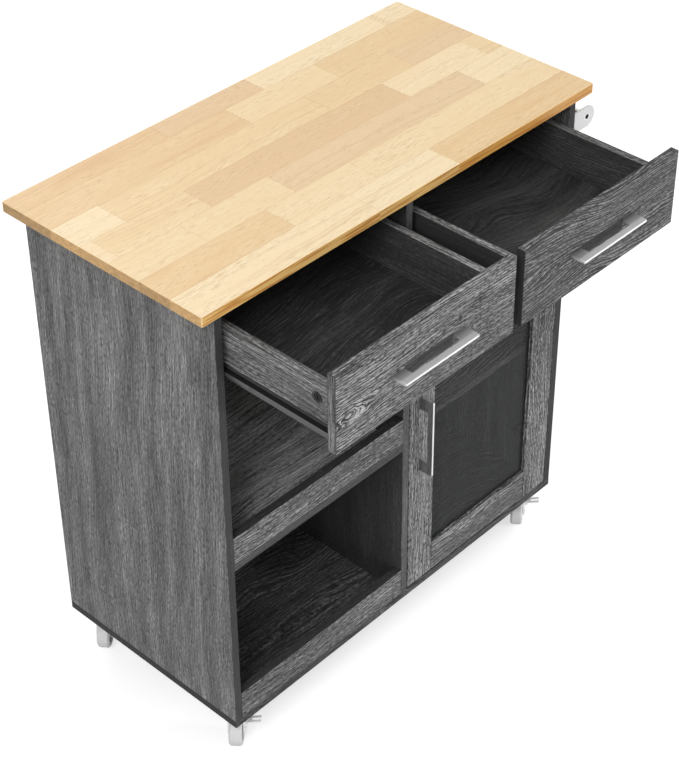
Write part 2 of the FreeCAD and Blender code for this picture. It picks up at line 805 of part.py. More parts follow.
def make_drawer_runners(name, bay_left, box_front):
    low = drawer_side_bottom - size.runner_sheet
    runners = new_body(name + "_runners", (bay_left, box_front, low), several=True)
    sketch = new_sketch(runners, "XZ_Plane")
    section = drawer_runner_section()
    draw_outline(sketch, section)
    draw_outline(sketch, mirrored(section))
    add_pad(runners, sketch, size.drawer_box_length)
    for side, towards in ((zero, 1), (bay_width, -1)):
        notch = new_sketch(runners, "YZ_Plane", side)
        draw_rectangle(notch, size.runner_notch_place,
                       size.runner_sheet + size.runner_flange_rise - size.runner_lip_height,
                       size.runner_notch_place + size.runner_notch_length, size.runner_flange_rise)
        add_pocket(runners, notch, size.runner_lip_gap + size.runner_sheet, towards)
    web = size.runner_gap - size.runner_sheet
    pin = [(size.drawer_box_length - size.roller_inset, drawer_roller_height - low)]
    pin_length = web - size.roller_start
    add_discs(runners, "YZ_Plane", size.roller_start, pin, size.roller_pin_radius, pin_length)
    add_discs(runners, "YZ_Plane", bay_width - web, pin, size.roller_pin_radius, pin_length)
    make_rollers(name + "_rollers", (bay_left, drawer_roller_place - size.drawer_shown_travel,
                                     drawer_roller_height))


def make_cabinet_runners():
    front = drawer_front_back + size.front_gap
    runners = new_body("cabinet_runners", (inner_left, front, track_under), several=True)
    sketch = new_sketch(runners, "XZ_Plane")
    section = cabinet_runner_section()
    for bay in (zero, bay_width + size.board):
        draw_outline(sketch, [(bay + across, up) for across, up in section])
        draw_outline(sketch, [(bay + across, up) for across, up in mirrored(section)])
    add_pad(runners, sketch, size.drawer_box_length)
    pin = [(size.roller_inset, cabinet_roller_height - track_under)]
    pin_length = size.roller_start + size.roller_width - size.runner_sheet
    for bay in (zero, bay_width + size.board):
        add_discs(runners, "YZ_Plane", bay + size.runner_sheet, pin, size.roller_pin_radius, pin_length)
        add_discs(runners, "YZ_Plane", bay + bay_width - size.runner_sheet - pin_length, pin,
                  size.roller_pin_radius, pin_length)
    for name, bay_left in (("left_cabinet_rollers", inner_left), ("right_cabinet_rollers", divider_right)):
        make_rollers(name, (bay_left, cabinet_roller_place, cabinet_roller_height))


def make_rollers(label, corner):
    """The two rollers of one drawer that turn about one line."""
    rollers = new_body(label, corner, several=True)
    sketch = new_sketch(rollers, "XZ_Plane")
    bore = size.roller_pin_radius + size.roller_pin_play
    tread = size.roller_radius
    edge = size.roller_edge
    section = [(size.roller_start, bore), (size.roller_start + size.roller_width, bore),
               (size.roller_start + size.roller_width, tread - edge),
               (size.roller_start + size.roller_width - edge, tread),
               (size.roller_start + edge, tread), (size.roller_start, tread - edge)]
    draw_outline(sketch, section)
    draw_outline(sketch, mirrored(section))
    add_revolution(rollers, sketch, "H_Axis")


# Door

def make_door():
    stile = size.door_stile_width
    rail = size.door_rail_width
    rebate = size.glass_rebate
    rebate_depth = size.board - size.glass_setback
    opening_width = front_width - stile * 2
    opening_height = door_height - rail * 2
    pull_places = [(size.door_pull_inset, size.door_pull_rise - size.pull_hole_spacing / 2),
                   (size.door_pull_inset, size.door_pull_rise + size.pull_hole_spacing / 2)]
    cup_across = stile - size.hinge_cup_inset
    cups = [(cup_across, height - door_bottom) for height in hinge_heights]
    cup_screws = [(cup_across, height - door_bottom + side * hinge_cup_screw_spread)
                  for height in hinge_heights for side in (-1, 1)]

    left = make_board("door_stile_left", (door_left, carcass_front, door_bottom),
                      stile, size.board, door_height)
    cut_rebate(left, stile - rebate, rail - rebate, stile, door_height - rail + rebate, rebate_depth)
    drill(left, "XZ_Plane", zero, pull_places, size.pull_screw_radius + size.pull_screw_clearance,
          size.board, 1)
    ease_face(left)

    right = make_board("door_stile_right", (door_right - stile, carcass_front, door_bottom),
                       stile, size.board, door_height)
    cut_rebate(right, zero, rail - rebate, rebate, door_height - rail + rebate, rebate_depth)
    drill(right, "XZ_Plane", size.board, cups, size.hinge_cup_radius + size.hinge_cup_play,
          size.hinge_cup_depth, -1)
    drill(right, "XZ_Plane", size.board, cup_screws, size.screw_radius + size.screw_pilot_play,
          size.screw_length, -1)
    ease_face(right)

    bottom = make_board("door_rail_bottom", (door_left + stile, carcass_front, door_bottom),
                        opening_width, size.board, rail)
    cut_rebate(bottom, zero, rail - rebate, opening_width, rail, rebate_depth)
    ease_face(bottom)

    top = make_board("door_rail_top", (door_left + stile, carcass_front, door_top - rail),
                     opening_width, size.board, rail)
    cut_rebate(top, zero, zero, opening_width, rebate, rebate_depth)
    ease_face(top)

    play = size.glass_play
    glass_left = door_left + stile - rebate
    glass_low = door_bottom + rail - rebate
    wide = opening_width + rebate * 2
    high = opening_height + rebate * 2
    make_board("door_glass", (glass_left + play, carcass_front + size.glass_setback, glass_low + play),
               wide - play * 2, size.glass_thickness, high - play * 2)

    glass_back = size.glass_setback + size.glass_thickness
    bead = size.glass_bead_width
    inset = bead + size.glass_bead_gap
    beads = new_body("door_glass_beads", (glass_left, carcass_front + glass_back, glass_low), several=True)
    sketch = new_sketch(beads, "XZ_Plane")
    draw_rectangle(sketch, zero, zero, bead, high)
    draw_rectangle(sketch, wide - bead, zero, wide, high)
    draw_rectangle(sketch, inset, zero, wide - inset, bead)
    draw_rectangle(sketch, inset, high - bead, wide - inset, high)
    add_pad(beads, sketch, size.board - glass_back)

    upright = FreeCAD.Rotation(FreeCAD.Vector(0, 0, 1), FreeCAD.Vector(0, -1, 0), FreeCAD.Vector(1, 0, 0),
                               "XYZ")
    make_pull("door_pull", (door_left + size.door_pull_inset - size.pull_thickness / 2, carcass_front,
                            door_bottom + size.door_pull_rise - size.pull_length / 2), upright)

    make_hinge_cups(cups)

    fasteners = new_body("door_fasteners", (door_left, carcass_front, door_bottom), several=True)
    add_pull_screws(fasteners, size.board, pull_places)
    shift = front_width - stile
    add_screws(fasteners, "XZ_Plane", size.board + size.hinge_flange_thickness,
               [(across + shift, up) for across, up in cup_screws], size.screw_head_radius,
               size.screw_head_height, size.screw_radius, size.screw_length, -1)


def cut_rebate(body, left, low, right, high, depth):
    sketch = new_sketch(body, "XZ_Plane", size.board)
    draw_rectangle(sketch, left, low, right, high)
    add_pocket(body, sketch, depth, -1)


hinge_cup_screw_spread = size.hinge_cup_radius + size.screw_head_radius + size.hinge_screw_play


def make_hinge_cups(cups):
    """Sheet cups let into the door, each with a flange on the door's back."""
    body = new_body("door_hinge_cups", (door_right - size.door_stile_width, carcass_front, door_bottom),
                    several=True)
    half_height = size.hinge_flange_height / 2
    add_discs(body, "XZ_Plane", size.board - size.hinge_cup_depth, cups, size.hinge_cup_radius,
              size.hinge_cup_depth)
    flanges = new_sketch(body, "XZ_Plane", size.board)
    for across, up in cups:
        draw_rectangle(flanges, across - size.hinge_cup_radius, up - half_height,
                       across + size.hinge_cup_radius, up + half_height)
    add_pad(body, flanges, size.hinge_flange_thickness)
    drill(body, "XZ_Plane", size.board + size.hinge_flange_thickness, cups,
          size.hinge_cup_radius - size.hinge_cup_wall,
          size.hinge_cup_depth + size.hinge_flange_thickness - size.hinge_cup_wall, -1)
    screw_holes = [(across, up + side * hinge_cup_screw_spread) for across, up in cups for side in (-1, 1)]
    drill(body, "XZ_Plane", size.board + size.hinge_flange_thickness, screw_holes,
          size.screw_radius + size.screw_hole_play, size.hinge_flange_thickness, -1)


def winged_outline(row, height):
    """A hinge's plate: a middle that carries the arm, and a wing above and below it for a screw."""
    half_depth = size.hinge_plate_depth / 2
    half_middle = size.hinge_middle_height / 2
    half_wing = size.hinge_wing_depth / 2
    half_height = size.hinge_plate_height / 2
    quarter = [(half_depth, half_middle), (half_wing, half_middle), (half_wing, half_height)]
    above = [(row + across, height + up) for across, up in quarter]
    above += [(row - across, height + up) for across, up in reversed(quarter)]
    below = [(row - across, height - up) for across, up in quarter]
    below += [(row + across, height - up) for across, up in reversed(quarter)]
    return above + below


def arm_outline(front, height):
    """A hinge's arm, tapered at its rear end."""
    rear = front + size.hinge_arm_length
    taper = size.hinge_arm_taper
    low = height - size.hinge_arm_height / 2
    high = height + size.hinge_arm_height / 2
    return [(front, low), (rear - taper, low), (rear, low + taper), (rear, high - taper),
            (rear - taper, high), (front, high)]


def make_hinge_plates():
    """The plates and arms of the hinges on the side panel."""
    plates = new_body("hinge_plates", (zero, zero, zero), several=True)
    plate_face = inner_right - size.hinge_plate_thickness
    arm_face = plate_face - size.hinge_arm_thickness
    wing_ends = [height + side * size.hinge_plate_height / 2
                 for height in hinge_heights for side in (-1, 1)]
    plate = new_sketch(plates, "YZ_Plane", inner_right)
    arm = new_sketch(plates, "YZ_Plane", plate_face)
    arm_front = door_back + size.hinge_flange_thickness + size.hinge_arm_gap
    for height in hinge_heights:
        draw_outline(plate, winged_outline(door_back + size.hinge_plate_setback, height))
        draw_outline(arm, arm_outline(arm_front, height))
    add_pad(plates, plate, size.hinge_plate_thickness, -1)

    def wing_corner(box):
        return runs_along(box, "x") and any(is_at(box.ZMin, end) for end in wing_ends)
    dress_edges(plates, "Fillet", size.hinge_plate_corner, wing_corner)
    drill(plates, "YZ_Plane", inner_right, screws.hinge, size.screw_radius + size.screw_hole_play,
          size.hinge_plate_thickness, -1)
    add_pad(plates, arm, size.hinge_arm_thickness, -1)

    def arm_edge(box):
        return runs_along(box, "y") and is_at(box.XMin, arm_face)
    dress_edges(plates, "Fillet", size.hinge_arm_edge, arm_edge)
    adjusters = [(arm_front + size.hinge_adjuster_place + turn * size.hinge_adjuster_spacing, height)
                 for height in hinge_heights for turn in (0, 1)]
    drill(plates, "YZ_Plane", arm_face, adjusters, size.hinge_adjuster_radius, size.hinge_adjuster_depth, 1)


# Towel bar

def make_towel_bar():
    ear = size.towel_ear_thickness
    high = size.towel_ear_height
    low = towel_bar_height - high / 2
    hole = size.towel_bar_radius + size.towel_bar_play
    screw_hole = size.screw_radius + size.screw_hole_play
    for name, back_y, ear_from in (("towel_ear_front", carcass_front, zero),
                                   ("towel_ear_rear", carcass_back - size.towel_foot_depth,
                                    size.towel_foot_depth - ear)):
        body = new_body(name, (carcass_right, back_y, low))
        foot = new_sketch(body, "YZ_Plane")
        draw_rectangle(foot, zero, zero, size.towel_foot_depth, high)
        add_pad(body, foot, ear)
        plate = new_sketch(body, "XZ_Plane", ear_from)
        draw_rectangle(plate, zero, zero, size.towel_bar_standoff, high)
        add_pad(body, plate, ear)
        add_discs(body, "XZ_Plane", ear_from, [(size.towel_bar_standoff, high / 2)], high / 2, ear)
        drill(body, "XZ_Plane", ear_from, [(size.towel_bar_standoff, high / 2)], hole, ear, 1)
        holes = [(row - back_y, height - low) for row, height in screws.towel
                 if 0 < (row - back_y).value < size.towel_foot_depth.value]
        drill(body, "YZ_Plane", zero, holes, screw_hole, ear, 1)
        bend = zero if ear_from is zero else size.towel_foot_depth
        dress_edges(body, "Fillet", size.towel_bend_radius,
                    lambda box, bend=bend: runs_along(box, "z") and is_at(box.XMin, zero)
                    and is_at(box.YMin, bend))

    bar = new_body("towel_bar", (towel_bar_across, carcass_front, towel_bar_height))
    sketch = new_sketch(bar, "XZ_Plane")
    draw_circle(sketch, zero, zero, size.towel_bar_radius)
    draw_circle(sketch, zero, zero, size.towel_bar_radius - size.towel_bar_wall)
    add_pad(bar, sketch, carcass_depth)


def make_wood_screws():
    """The screws of the towel ears, hinge plates and caster plates."""
    body = new_body("wood_screws", (zero, zero, zero), several=True)
    head = (size.screw_head_radius, size.screw_head_height, size.screw_radius, size.screw_length)
    add_screws(body, "YZ_Plane", carcass_right + size.towel_ear_thickness, screws.towel, *head, -1)
    add_screws(body, "YZ_Plane", inner_right - size.hinge_plate_thickness, screws.hinge, *head, 1)
    add_screws(body, "XY_Plane", base_bottom - size.caster_plate_thickness, screws.caster, *head, 1)


# Casters

crown_top = base_bottom - size.caster_plate_thickness - size.race_play - size.race_height
crown_under = crown_top - size.fork_sheet
fork_inner_width = size.wheel_width + size.wheel_side_gap * 2
fork_width = fork_inner_width + size.fork_sheet * 2


def caster_point(pivot, along, across):
    """A point in a caster's own turned frame, along its trail and across it."""
    turn = size.caster_trail_angle
    return (pivot[0] + along * cosine(turn) - across * sine(turn),
            pivot[1] + along * sine(turn) + across * cosine(turn))


def make_caster_plates():
    plates = new_body("caster_plates", (zero, zero, zero), several=True)
    under = base_bottom - size.caster_plate_thickness
    half = size.caster_plate_width / 2
    sketch = new_sketch(plates, "XY_Plane", under)
    for across, along in caster_pivots:
        draw_rectangle(sketch, across - half, along - half, across + half, along + half)
    add_pad(plates, sketch, size.caster_plate_thickness)
    dress_edges(plates, "Fillet", size.caster_plate_corner, lambda box: runs_along(box, "z"))
    drill(plates, "XY_Plane", under, screws.caster, size.screw_radius + size.screw_hole_play,
          size.caster_plate_thickness, 1)
    head_top = crown_under - size.race_play
    pin_low = head_top - size.kingpin_head_height
    add_discs(plates, "XY_Plane", under, caster_pivots, size.kingpin_radius, under - pin_low, -1)
    add_discs(plates, "XY_Plane", head_top, caster_pivots, size.kingpin_head_radius,
              size.kingpin_head_height, -1)


def make_fork(place, pivot, braked):
    turn = FreeCAD.Rotation(FreeCAD.Vector(0, 0, 1), size.caster_trail_angle.value)
    fork = new_body("caster_fork_" + place, (pivot[0], pivot[1], zero), turn, several=True)
    half = fork_width / 2
    eye = size.fork_eye_radius
    axle = (size.caster_trail, size.wheel_radius)
    cheek = new_sketch(fork, "XZ_Plane", -half)
    draw_outline(cheek, [(-size.fork_crown_front, crown_top), (size.fork_crown_back, crown_top),
                         (size.caster_trail + eye, size.wheel_radius),
                         (size.caster_trail - eye, size.wheel_radius),
                         (-size.fork_crown_front, crown_top - size.fork_front_drop)])
    add_pad(fork, cheek, fork_width)
    dress_edges(fork, "Fillet", size.fork_corner,
                lambda box: runs_along(box, "y") and is_at(box.XMin, -size.fork_crown_front)
                or runs_along(box, "y") and is_at(box.XMin, size.fork_crown_back))
    dress_edges(fork, "Fillet", size.fork_bend_radius,
                lambda box: runs_along(box, "x") and is_at(box.ZMin, crown_top))
    add_discs(fork, "XZ_Plane", -half, [axle], eye, fork_width)
    inside = new_sketch(fork, "XZ_Plane", -fork_inner_width / 2)
    draw_rectangle(inside, -size.fork_crown_front, size.wheel_radius - eye,
                   size.caster_trail + eye, crown_under)
    add_pocket(fork, inside, fork_inner_width, 1)
    add_discs(fork, "XY_Plane", crown_top, [(zero, zero)], size.race_radius, size.race_height)
    drill(fork, "XY_Plane", crown_under, [(zero, zero)], size.kingpin_radius + size.kingpin_play,
          size.fork_sheet + size.race_height, 1)
    head = size.axle_head_height
    add_discs(fork, "XZ_Plane", -half, [axle], size.axle_radius, fork_width)
    add_discs(fork, "XZ_Plane", -half, [axle], size.axle_head_radius, head, -1)
    add_discs(fork, "XZ_Plane", half, [axle], size.axle_head_radius, head, 1)
    if braked:
        add_brake_lugs(fork, half)


def add_brake_lugs(fork, half):
    """The lugs and pin that carry the brake lever, and the slot that its shoe goes through."""
    middle = size.brake_centre
    inner = size.brake_width / 2 + size.brake_lug_play
    outer = inner + size.brake_lug_width
    pin = size.brake_pin_offset
    tall = size.brake_lug_radius
    height = size.brake_pin_height
    for low in (middle - outer, middle + inner):
        lug = new_sketch(fork, "YZ_Plane", low)
        draw_rectangle(lug, half, height - tall, half + pin + tall, height + tall)
        add_pad(fork, lug, size.brake_lug_width)
    add_discs(fork, "YZ_Plane", middle - outer, [(half + pin, height)], size.brake_pin_radius, outer * 2)
    slot = new_sketch(fork, "XZ_Plane", fork_inner_width / 2)
    reach = size.brake_shoe_width / 2 + size.brake_slot_play
    draw_rectangle(slot, middle - reach, height - size.brake_shoe_drop - size.brake_slot_play,
                   middle + reach, height)
    add_pocket(fork, slot, size.fork_sheet, 1)


def make_wheel(place, pivot):
    """A moulded wheel: hub, web and a full-width tread with eased shoulders."""
    turn = FreeCAD.Rotation(FreeCAD.Vector(0, 0, 1), size.caster_trail_angle.value)
    across, along = caster_point(pivot, size.caster_trail, -size.wheel_width / 2)
    wheel = new_body("caster_wheel_" + place, (across, along, size.wheel_radius), turn)
    sketch = new_sketch(wheel, "YZ_Plane")
    wide = size.wheel_width
    bore = size.axle_radius + size.axle_play
    hub = size.wheel_hub_radius
    rim = size.wheel_rim_radius
    tread = size.wheel_radius
    edge = size.wheel_shoulder
    deep = size.wheel_recess
    draw_outline(sketch, [(zero, bore), (wide, bore), (wide, hub), (wide - deep, hub), (wide - deep, rim),
                          (wide, rim), (wide, tread - edge), (wide - edge, tread), (edge, tread),
                          (zero, tread - edge), (zero, rim), (deep, rim), (deep, hub), (zero, hub)])
    add_revolution(wheel, sketch, "H_Axis")


def make_brake(place, pivot):
    """A pressed lever: a knuckle on the pin, a shoe that enters the fork and a two-pronged toe."""
    turn = FreeCAD.Rotation(FreeCAD.Vector(0, 0, 1), size.caster_trail_angle.value)
    across, along = caster_point(pivot, size.brake_centre - size.brake_width / 2,
                                 fork_width / 2 + size.brake_pin_offset)
    lever = new_body("brake_lever_" + place, (across, along, size.brake_pin_height), turn)
    metal = size.brake_sheet
    plate = new_sketch(lever, "YZ_Plane")
    draw_outline(plate, [(zero, -metal / 2), (size.brake_reach, size.brake_tip_lift - metal / 2),
                         (size.brake_reach, size.brake_tip_lift + metal / 2), (zero, metal / 2)])
    add_pad(lever, plate, size.brake_width)
    add_discs(lever, "YZ_Plane", zero, [(zero, zero)], size.brake_knuckle_radius, size.brake_width)
    shoe = new_sketch(lever, "YZ_Plane", (size.brake_width - size.brake_shoe_width) / 2)
    draw_rectangle(shoe, -size.brake_knuckle_radius, -size.brake_shoe_drop,
                   metal - size.brake_knuckle_radius, zero)
    add_pad(lever, shoe, size.brake_shoe_width)
    drill(lever, "YZ_Plane", zero, [(zero, zero)], size.brake_pin_radius + size.brake_pin_play,
          size.brake_width, 1)
    notch = new_sketch(lever, "XY_Plane", -size.brake_sheet)
    draw_rectangle(notch, (size.brake_width - size.brake_prong_gap) / 2,
                   size.brake_reach - size.brake_prong_length,
                   (size.brake_width + size.brake_prong_gap) / 2, size.brake_reach)
    add_pocket(lever, notch, size.brake_sheet * 2 + size.brake_tip_lift, 1)


def make_casters():
    make_caster_plates()
    for place, pivot in caster_places.items():
        braked = place.startswith("front")
        make_fork(place, pivot, braked)
        make_wheel(place, pivot)
        if braked:
            make_brake(place, pivot)


def check_and_write():
    doc.recompute()
    for item in doc.Objects:
        if "Invalid" in item.State or "Error" in item.State:
            raise RuntimeError("%s failed: %s" % (item.Label, item.State))
    os.makedirs("parts", exist_ok=True)
    for body in parts:
        if body.Shape.isNull() or not body.Shape.isValid():
            raise RuntimeError("bad shape in " + body.Label)
    for body in parts:
        body.Shape.exportStep(os.path.join("parts", body.Label + ".step"))
    print("%d sub-parts, %d solids" % (len(parts), sum(len(body.Shape.Solids) for body in parts)))


make_worktop()
make_carcass()
make_cabinet_shelf()
make_drawer("left_drawer", inner_left)
make_drawer("right_drawer", divider_right)
make_cabinet_runners()
make_door()
make_hinge_plates()
make_towel_bar()
make_wood_screws()
make_casters()
check_and_write()
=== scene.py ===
import math

import bmesh
import bpy
from mathutils import Matrix, Vector


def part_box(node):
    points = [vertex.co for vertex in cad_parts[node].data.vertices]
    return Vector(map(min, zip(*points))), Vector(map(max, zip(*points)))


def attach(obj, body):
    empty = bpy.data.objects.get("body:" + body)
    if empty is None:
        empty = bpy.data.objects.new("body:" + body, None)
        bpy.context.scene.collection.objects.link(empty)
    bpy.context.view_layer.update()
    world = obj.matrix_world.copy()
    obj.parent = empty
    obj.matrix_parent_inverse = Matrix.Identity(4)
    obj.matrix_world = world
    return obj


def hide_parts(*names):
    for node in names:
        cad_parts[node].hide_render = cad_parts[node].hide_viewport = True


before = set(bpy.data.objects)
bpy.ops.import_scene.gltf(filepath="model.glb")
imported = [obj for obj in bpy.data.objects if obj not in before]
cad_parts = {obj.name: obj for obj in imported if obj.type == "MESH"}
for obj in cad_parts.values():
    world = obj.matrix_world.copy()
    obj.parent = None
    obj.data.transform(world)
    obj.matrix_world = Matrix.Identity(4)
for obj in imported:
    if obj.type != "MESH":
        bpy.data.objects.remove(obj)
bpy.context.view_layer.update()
print("frame loaded:", len(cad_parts), "nodes")

mm = 0.001


def hexColor(code):   # sRGB hex to the linear colour that the shaders take
    channels = [int(code[i:i + 2], 16) / 255 for i in (1, 3, 5)]
    linear = [c / 12.92 if c <= 0.04045 else ((c + 0.055) / 1.055) ** 2.4 for c in channels]
    return (*linear, 1.0)


def nodeAdder(tree):
    def add(kind, settings=None, links=None):   # one node, its settings and what feeds it
        node = tree.nodes.new("ShaderNode" + kind)
        for key, value in (settings or {}).items():
            if isinstance(key, int) or key in node.inputs:
                node.inputs[key].default_value = value
            else:
                setattr(node, key, value)
        for key, source in (links or {}).items():
            socket = source if isinstance(source, bpy.types.NodeSocket) else source.outputs[0]
            tree.links.new(socket, node.inputs[key])
        return node
    return add


def newMaterial(name):   # comes with the function that adds its nodes
    material = bpy.data.materials.new(name)
    material.use_nodes = True
    material.node_tree.nodes.clear()
    return material, nodeAdder(material.node_tree)


def stretchedNoise(add, source, scale, settings):   # noise with its own scale along X, Y and Z
    stretched = add("VectorMath", {"operation": "MULTIPLY", 1: scale}, {0: source})
    return add("TexNoise", {"Scale": 1.0, **settings}, {"Vector": stretched}).outputs["Fac"]


def facingShare(add, facing, axis, sign=0, start=0.0, end=1.0, full=0.9):
    # start on most faces and end on those that look along the axis; without a sign, both ways
    way = {"operation": "MULTIPLY", 1: sign} if sign else {"operation": "ABSOLUTE"}
    side = add("Math", way, {0: facing.outputs[axis]})
    return add("MapRange", {"From Min": 0.6, "From Max": full, "To Min": start, "To Max": end},
               {"Value": side})


def awayFrom(add, socket, middle):   # distance from a middle place, either way
    moved = add("Math", {"operation": "SUBTRACT", 1: middle}, {0: socket})
    return add("Math", {"operation": "ABSOLUTE"}, {0: moved})


def setRamp(node, stops):   # colour stops as (place, hex)
    ramp = node.color_ramp
    while len(ramp.elements) < len(stops):
        ramp.elements.new(1.0)
    for element, (place, code) in zip(ramp.elements, stops):
        element.position = place
        element.color = hexColor(code)


def dress(nodes, material):   # the material goes on CAD nodes, which keep their mesh
    for name in nodes:
        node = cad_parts[name]
        node.data.materials.clear()
        node.data.materials.append(material)


# Rubberwood worktop: staves glued side by side and finger jointed end to end, sanded and oiled.
# That gives a pale satin top whose staves differ a little in tone, with small dark pores.

worktopLook = {
    "staveWidth": 65 * mm,
    "staveLength": 310 * mm,
    "rowStep": 0.382,            # share of a stave from one row's joints to the next row's
    "lengthSwing": 85 * mm,      # the joints swing to and fro by this
    "swingTurn": 9.0,            # radians a metre
    "fingerPitch": 9 * mm,       # real fingers are half as wide, too fine to show
    "fingerDepth": 3.5 * mm,
    "cutAlong": 4.0,             # metres between the places in the tree that staves come from
    "cutAcross": 2.0,
    "sway": 34 * mm,             # how far the growth rings sway
    "swayScale": (4.5, 13.0, 20.0),   # of noise: waves to a metre along X, Y and Z
    "driftScale": (7.0, 42.0, 10.0),
    "endScale": (1.0, 110.0, 260.0),
    "ringLength": 625 * mm,
    "ringWidth": 7 * mm,         # as the stave is cut flat
    "fibreLength": 45 * mm,
    "fibreWidth": 1.6 * mm,      # about four times as coarse as the real ones
    "poreLength": 9 * mm,
    "poreWidth": 0.8 * mm,
    "dashLength": 20 * mm,       # dark dashes, which come in drifts
    "dashWidth": 1.2 * mm,
    "through": {"ring": 60.0, "fibre": 300.0, "pore": 600.0, "dash": 300.0},   # waves to a metre along Z
    "driftShow": 0.55,           # what makes a stave's tone: broad drifts, luck and fibres
    "luckShow": 0.72,
    "luckStart": -0.14,
    "fibreShow": 0.42,
    "rowLine": 0.016,            # glue lines between rows, as a share of a stave's width
    "rowLineShow": 0.34,
    "jointLine": 0.0045,         # and at the finger joints, as a share of its length
    "jointLineShow": 0.4,
    "edgeLine": 4.2 * mm,
    "tones": [(0.0, "#e0b889"), (0.2, "#ebcb9c"), (0.42, "#f1d5a7"), (0.68, "#f7e0b8"), (1.0, "#f9e6c0")],
    "figure": "#c69a66",
    "pore": "#a9814f",
    "dash": "#c39a68",
    "brown": "#dcb68c",          # staves of heartwood
    "brownShow": 0.5,
    "brownStaves": [(6, 1), (5, 0), (3, 1), (2, 2), (4, 3)],   # (row from the front, stave from the left)
    "frontEdge": "#d69f52",
    "frontEdgePale": "#e2b872",
    "frontEdgeLine": "#ad6f2c",
    "endGrain": "#c49c66",
    "roughness": 0.42,
    "relief": 0.12,
    "reliefDepth": 0.3 * mm,
}


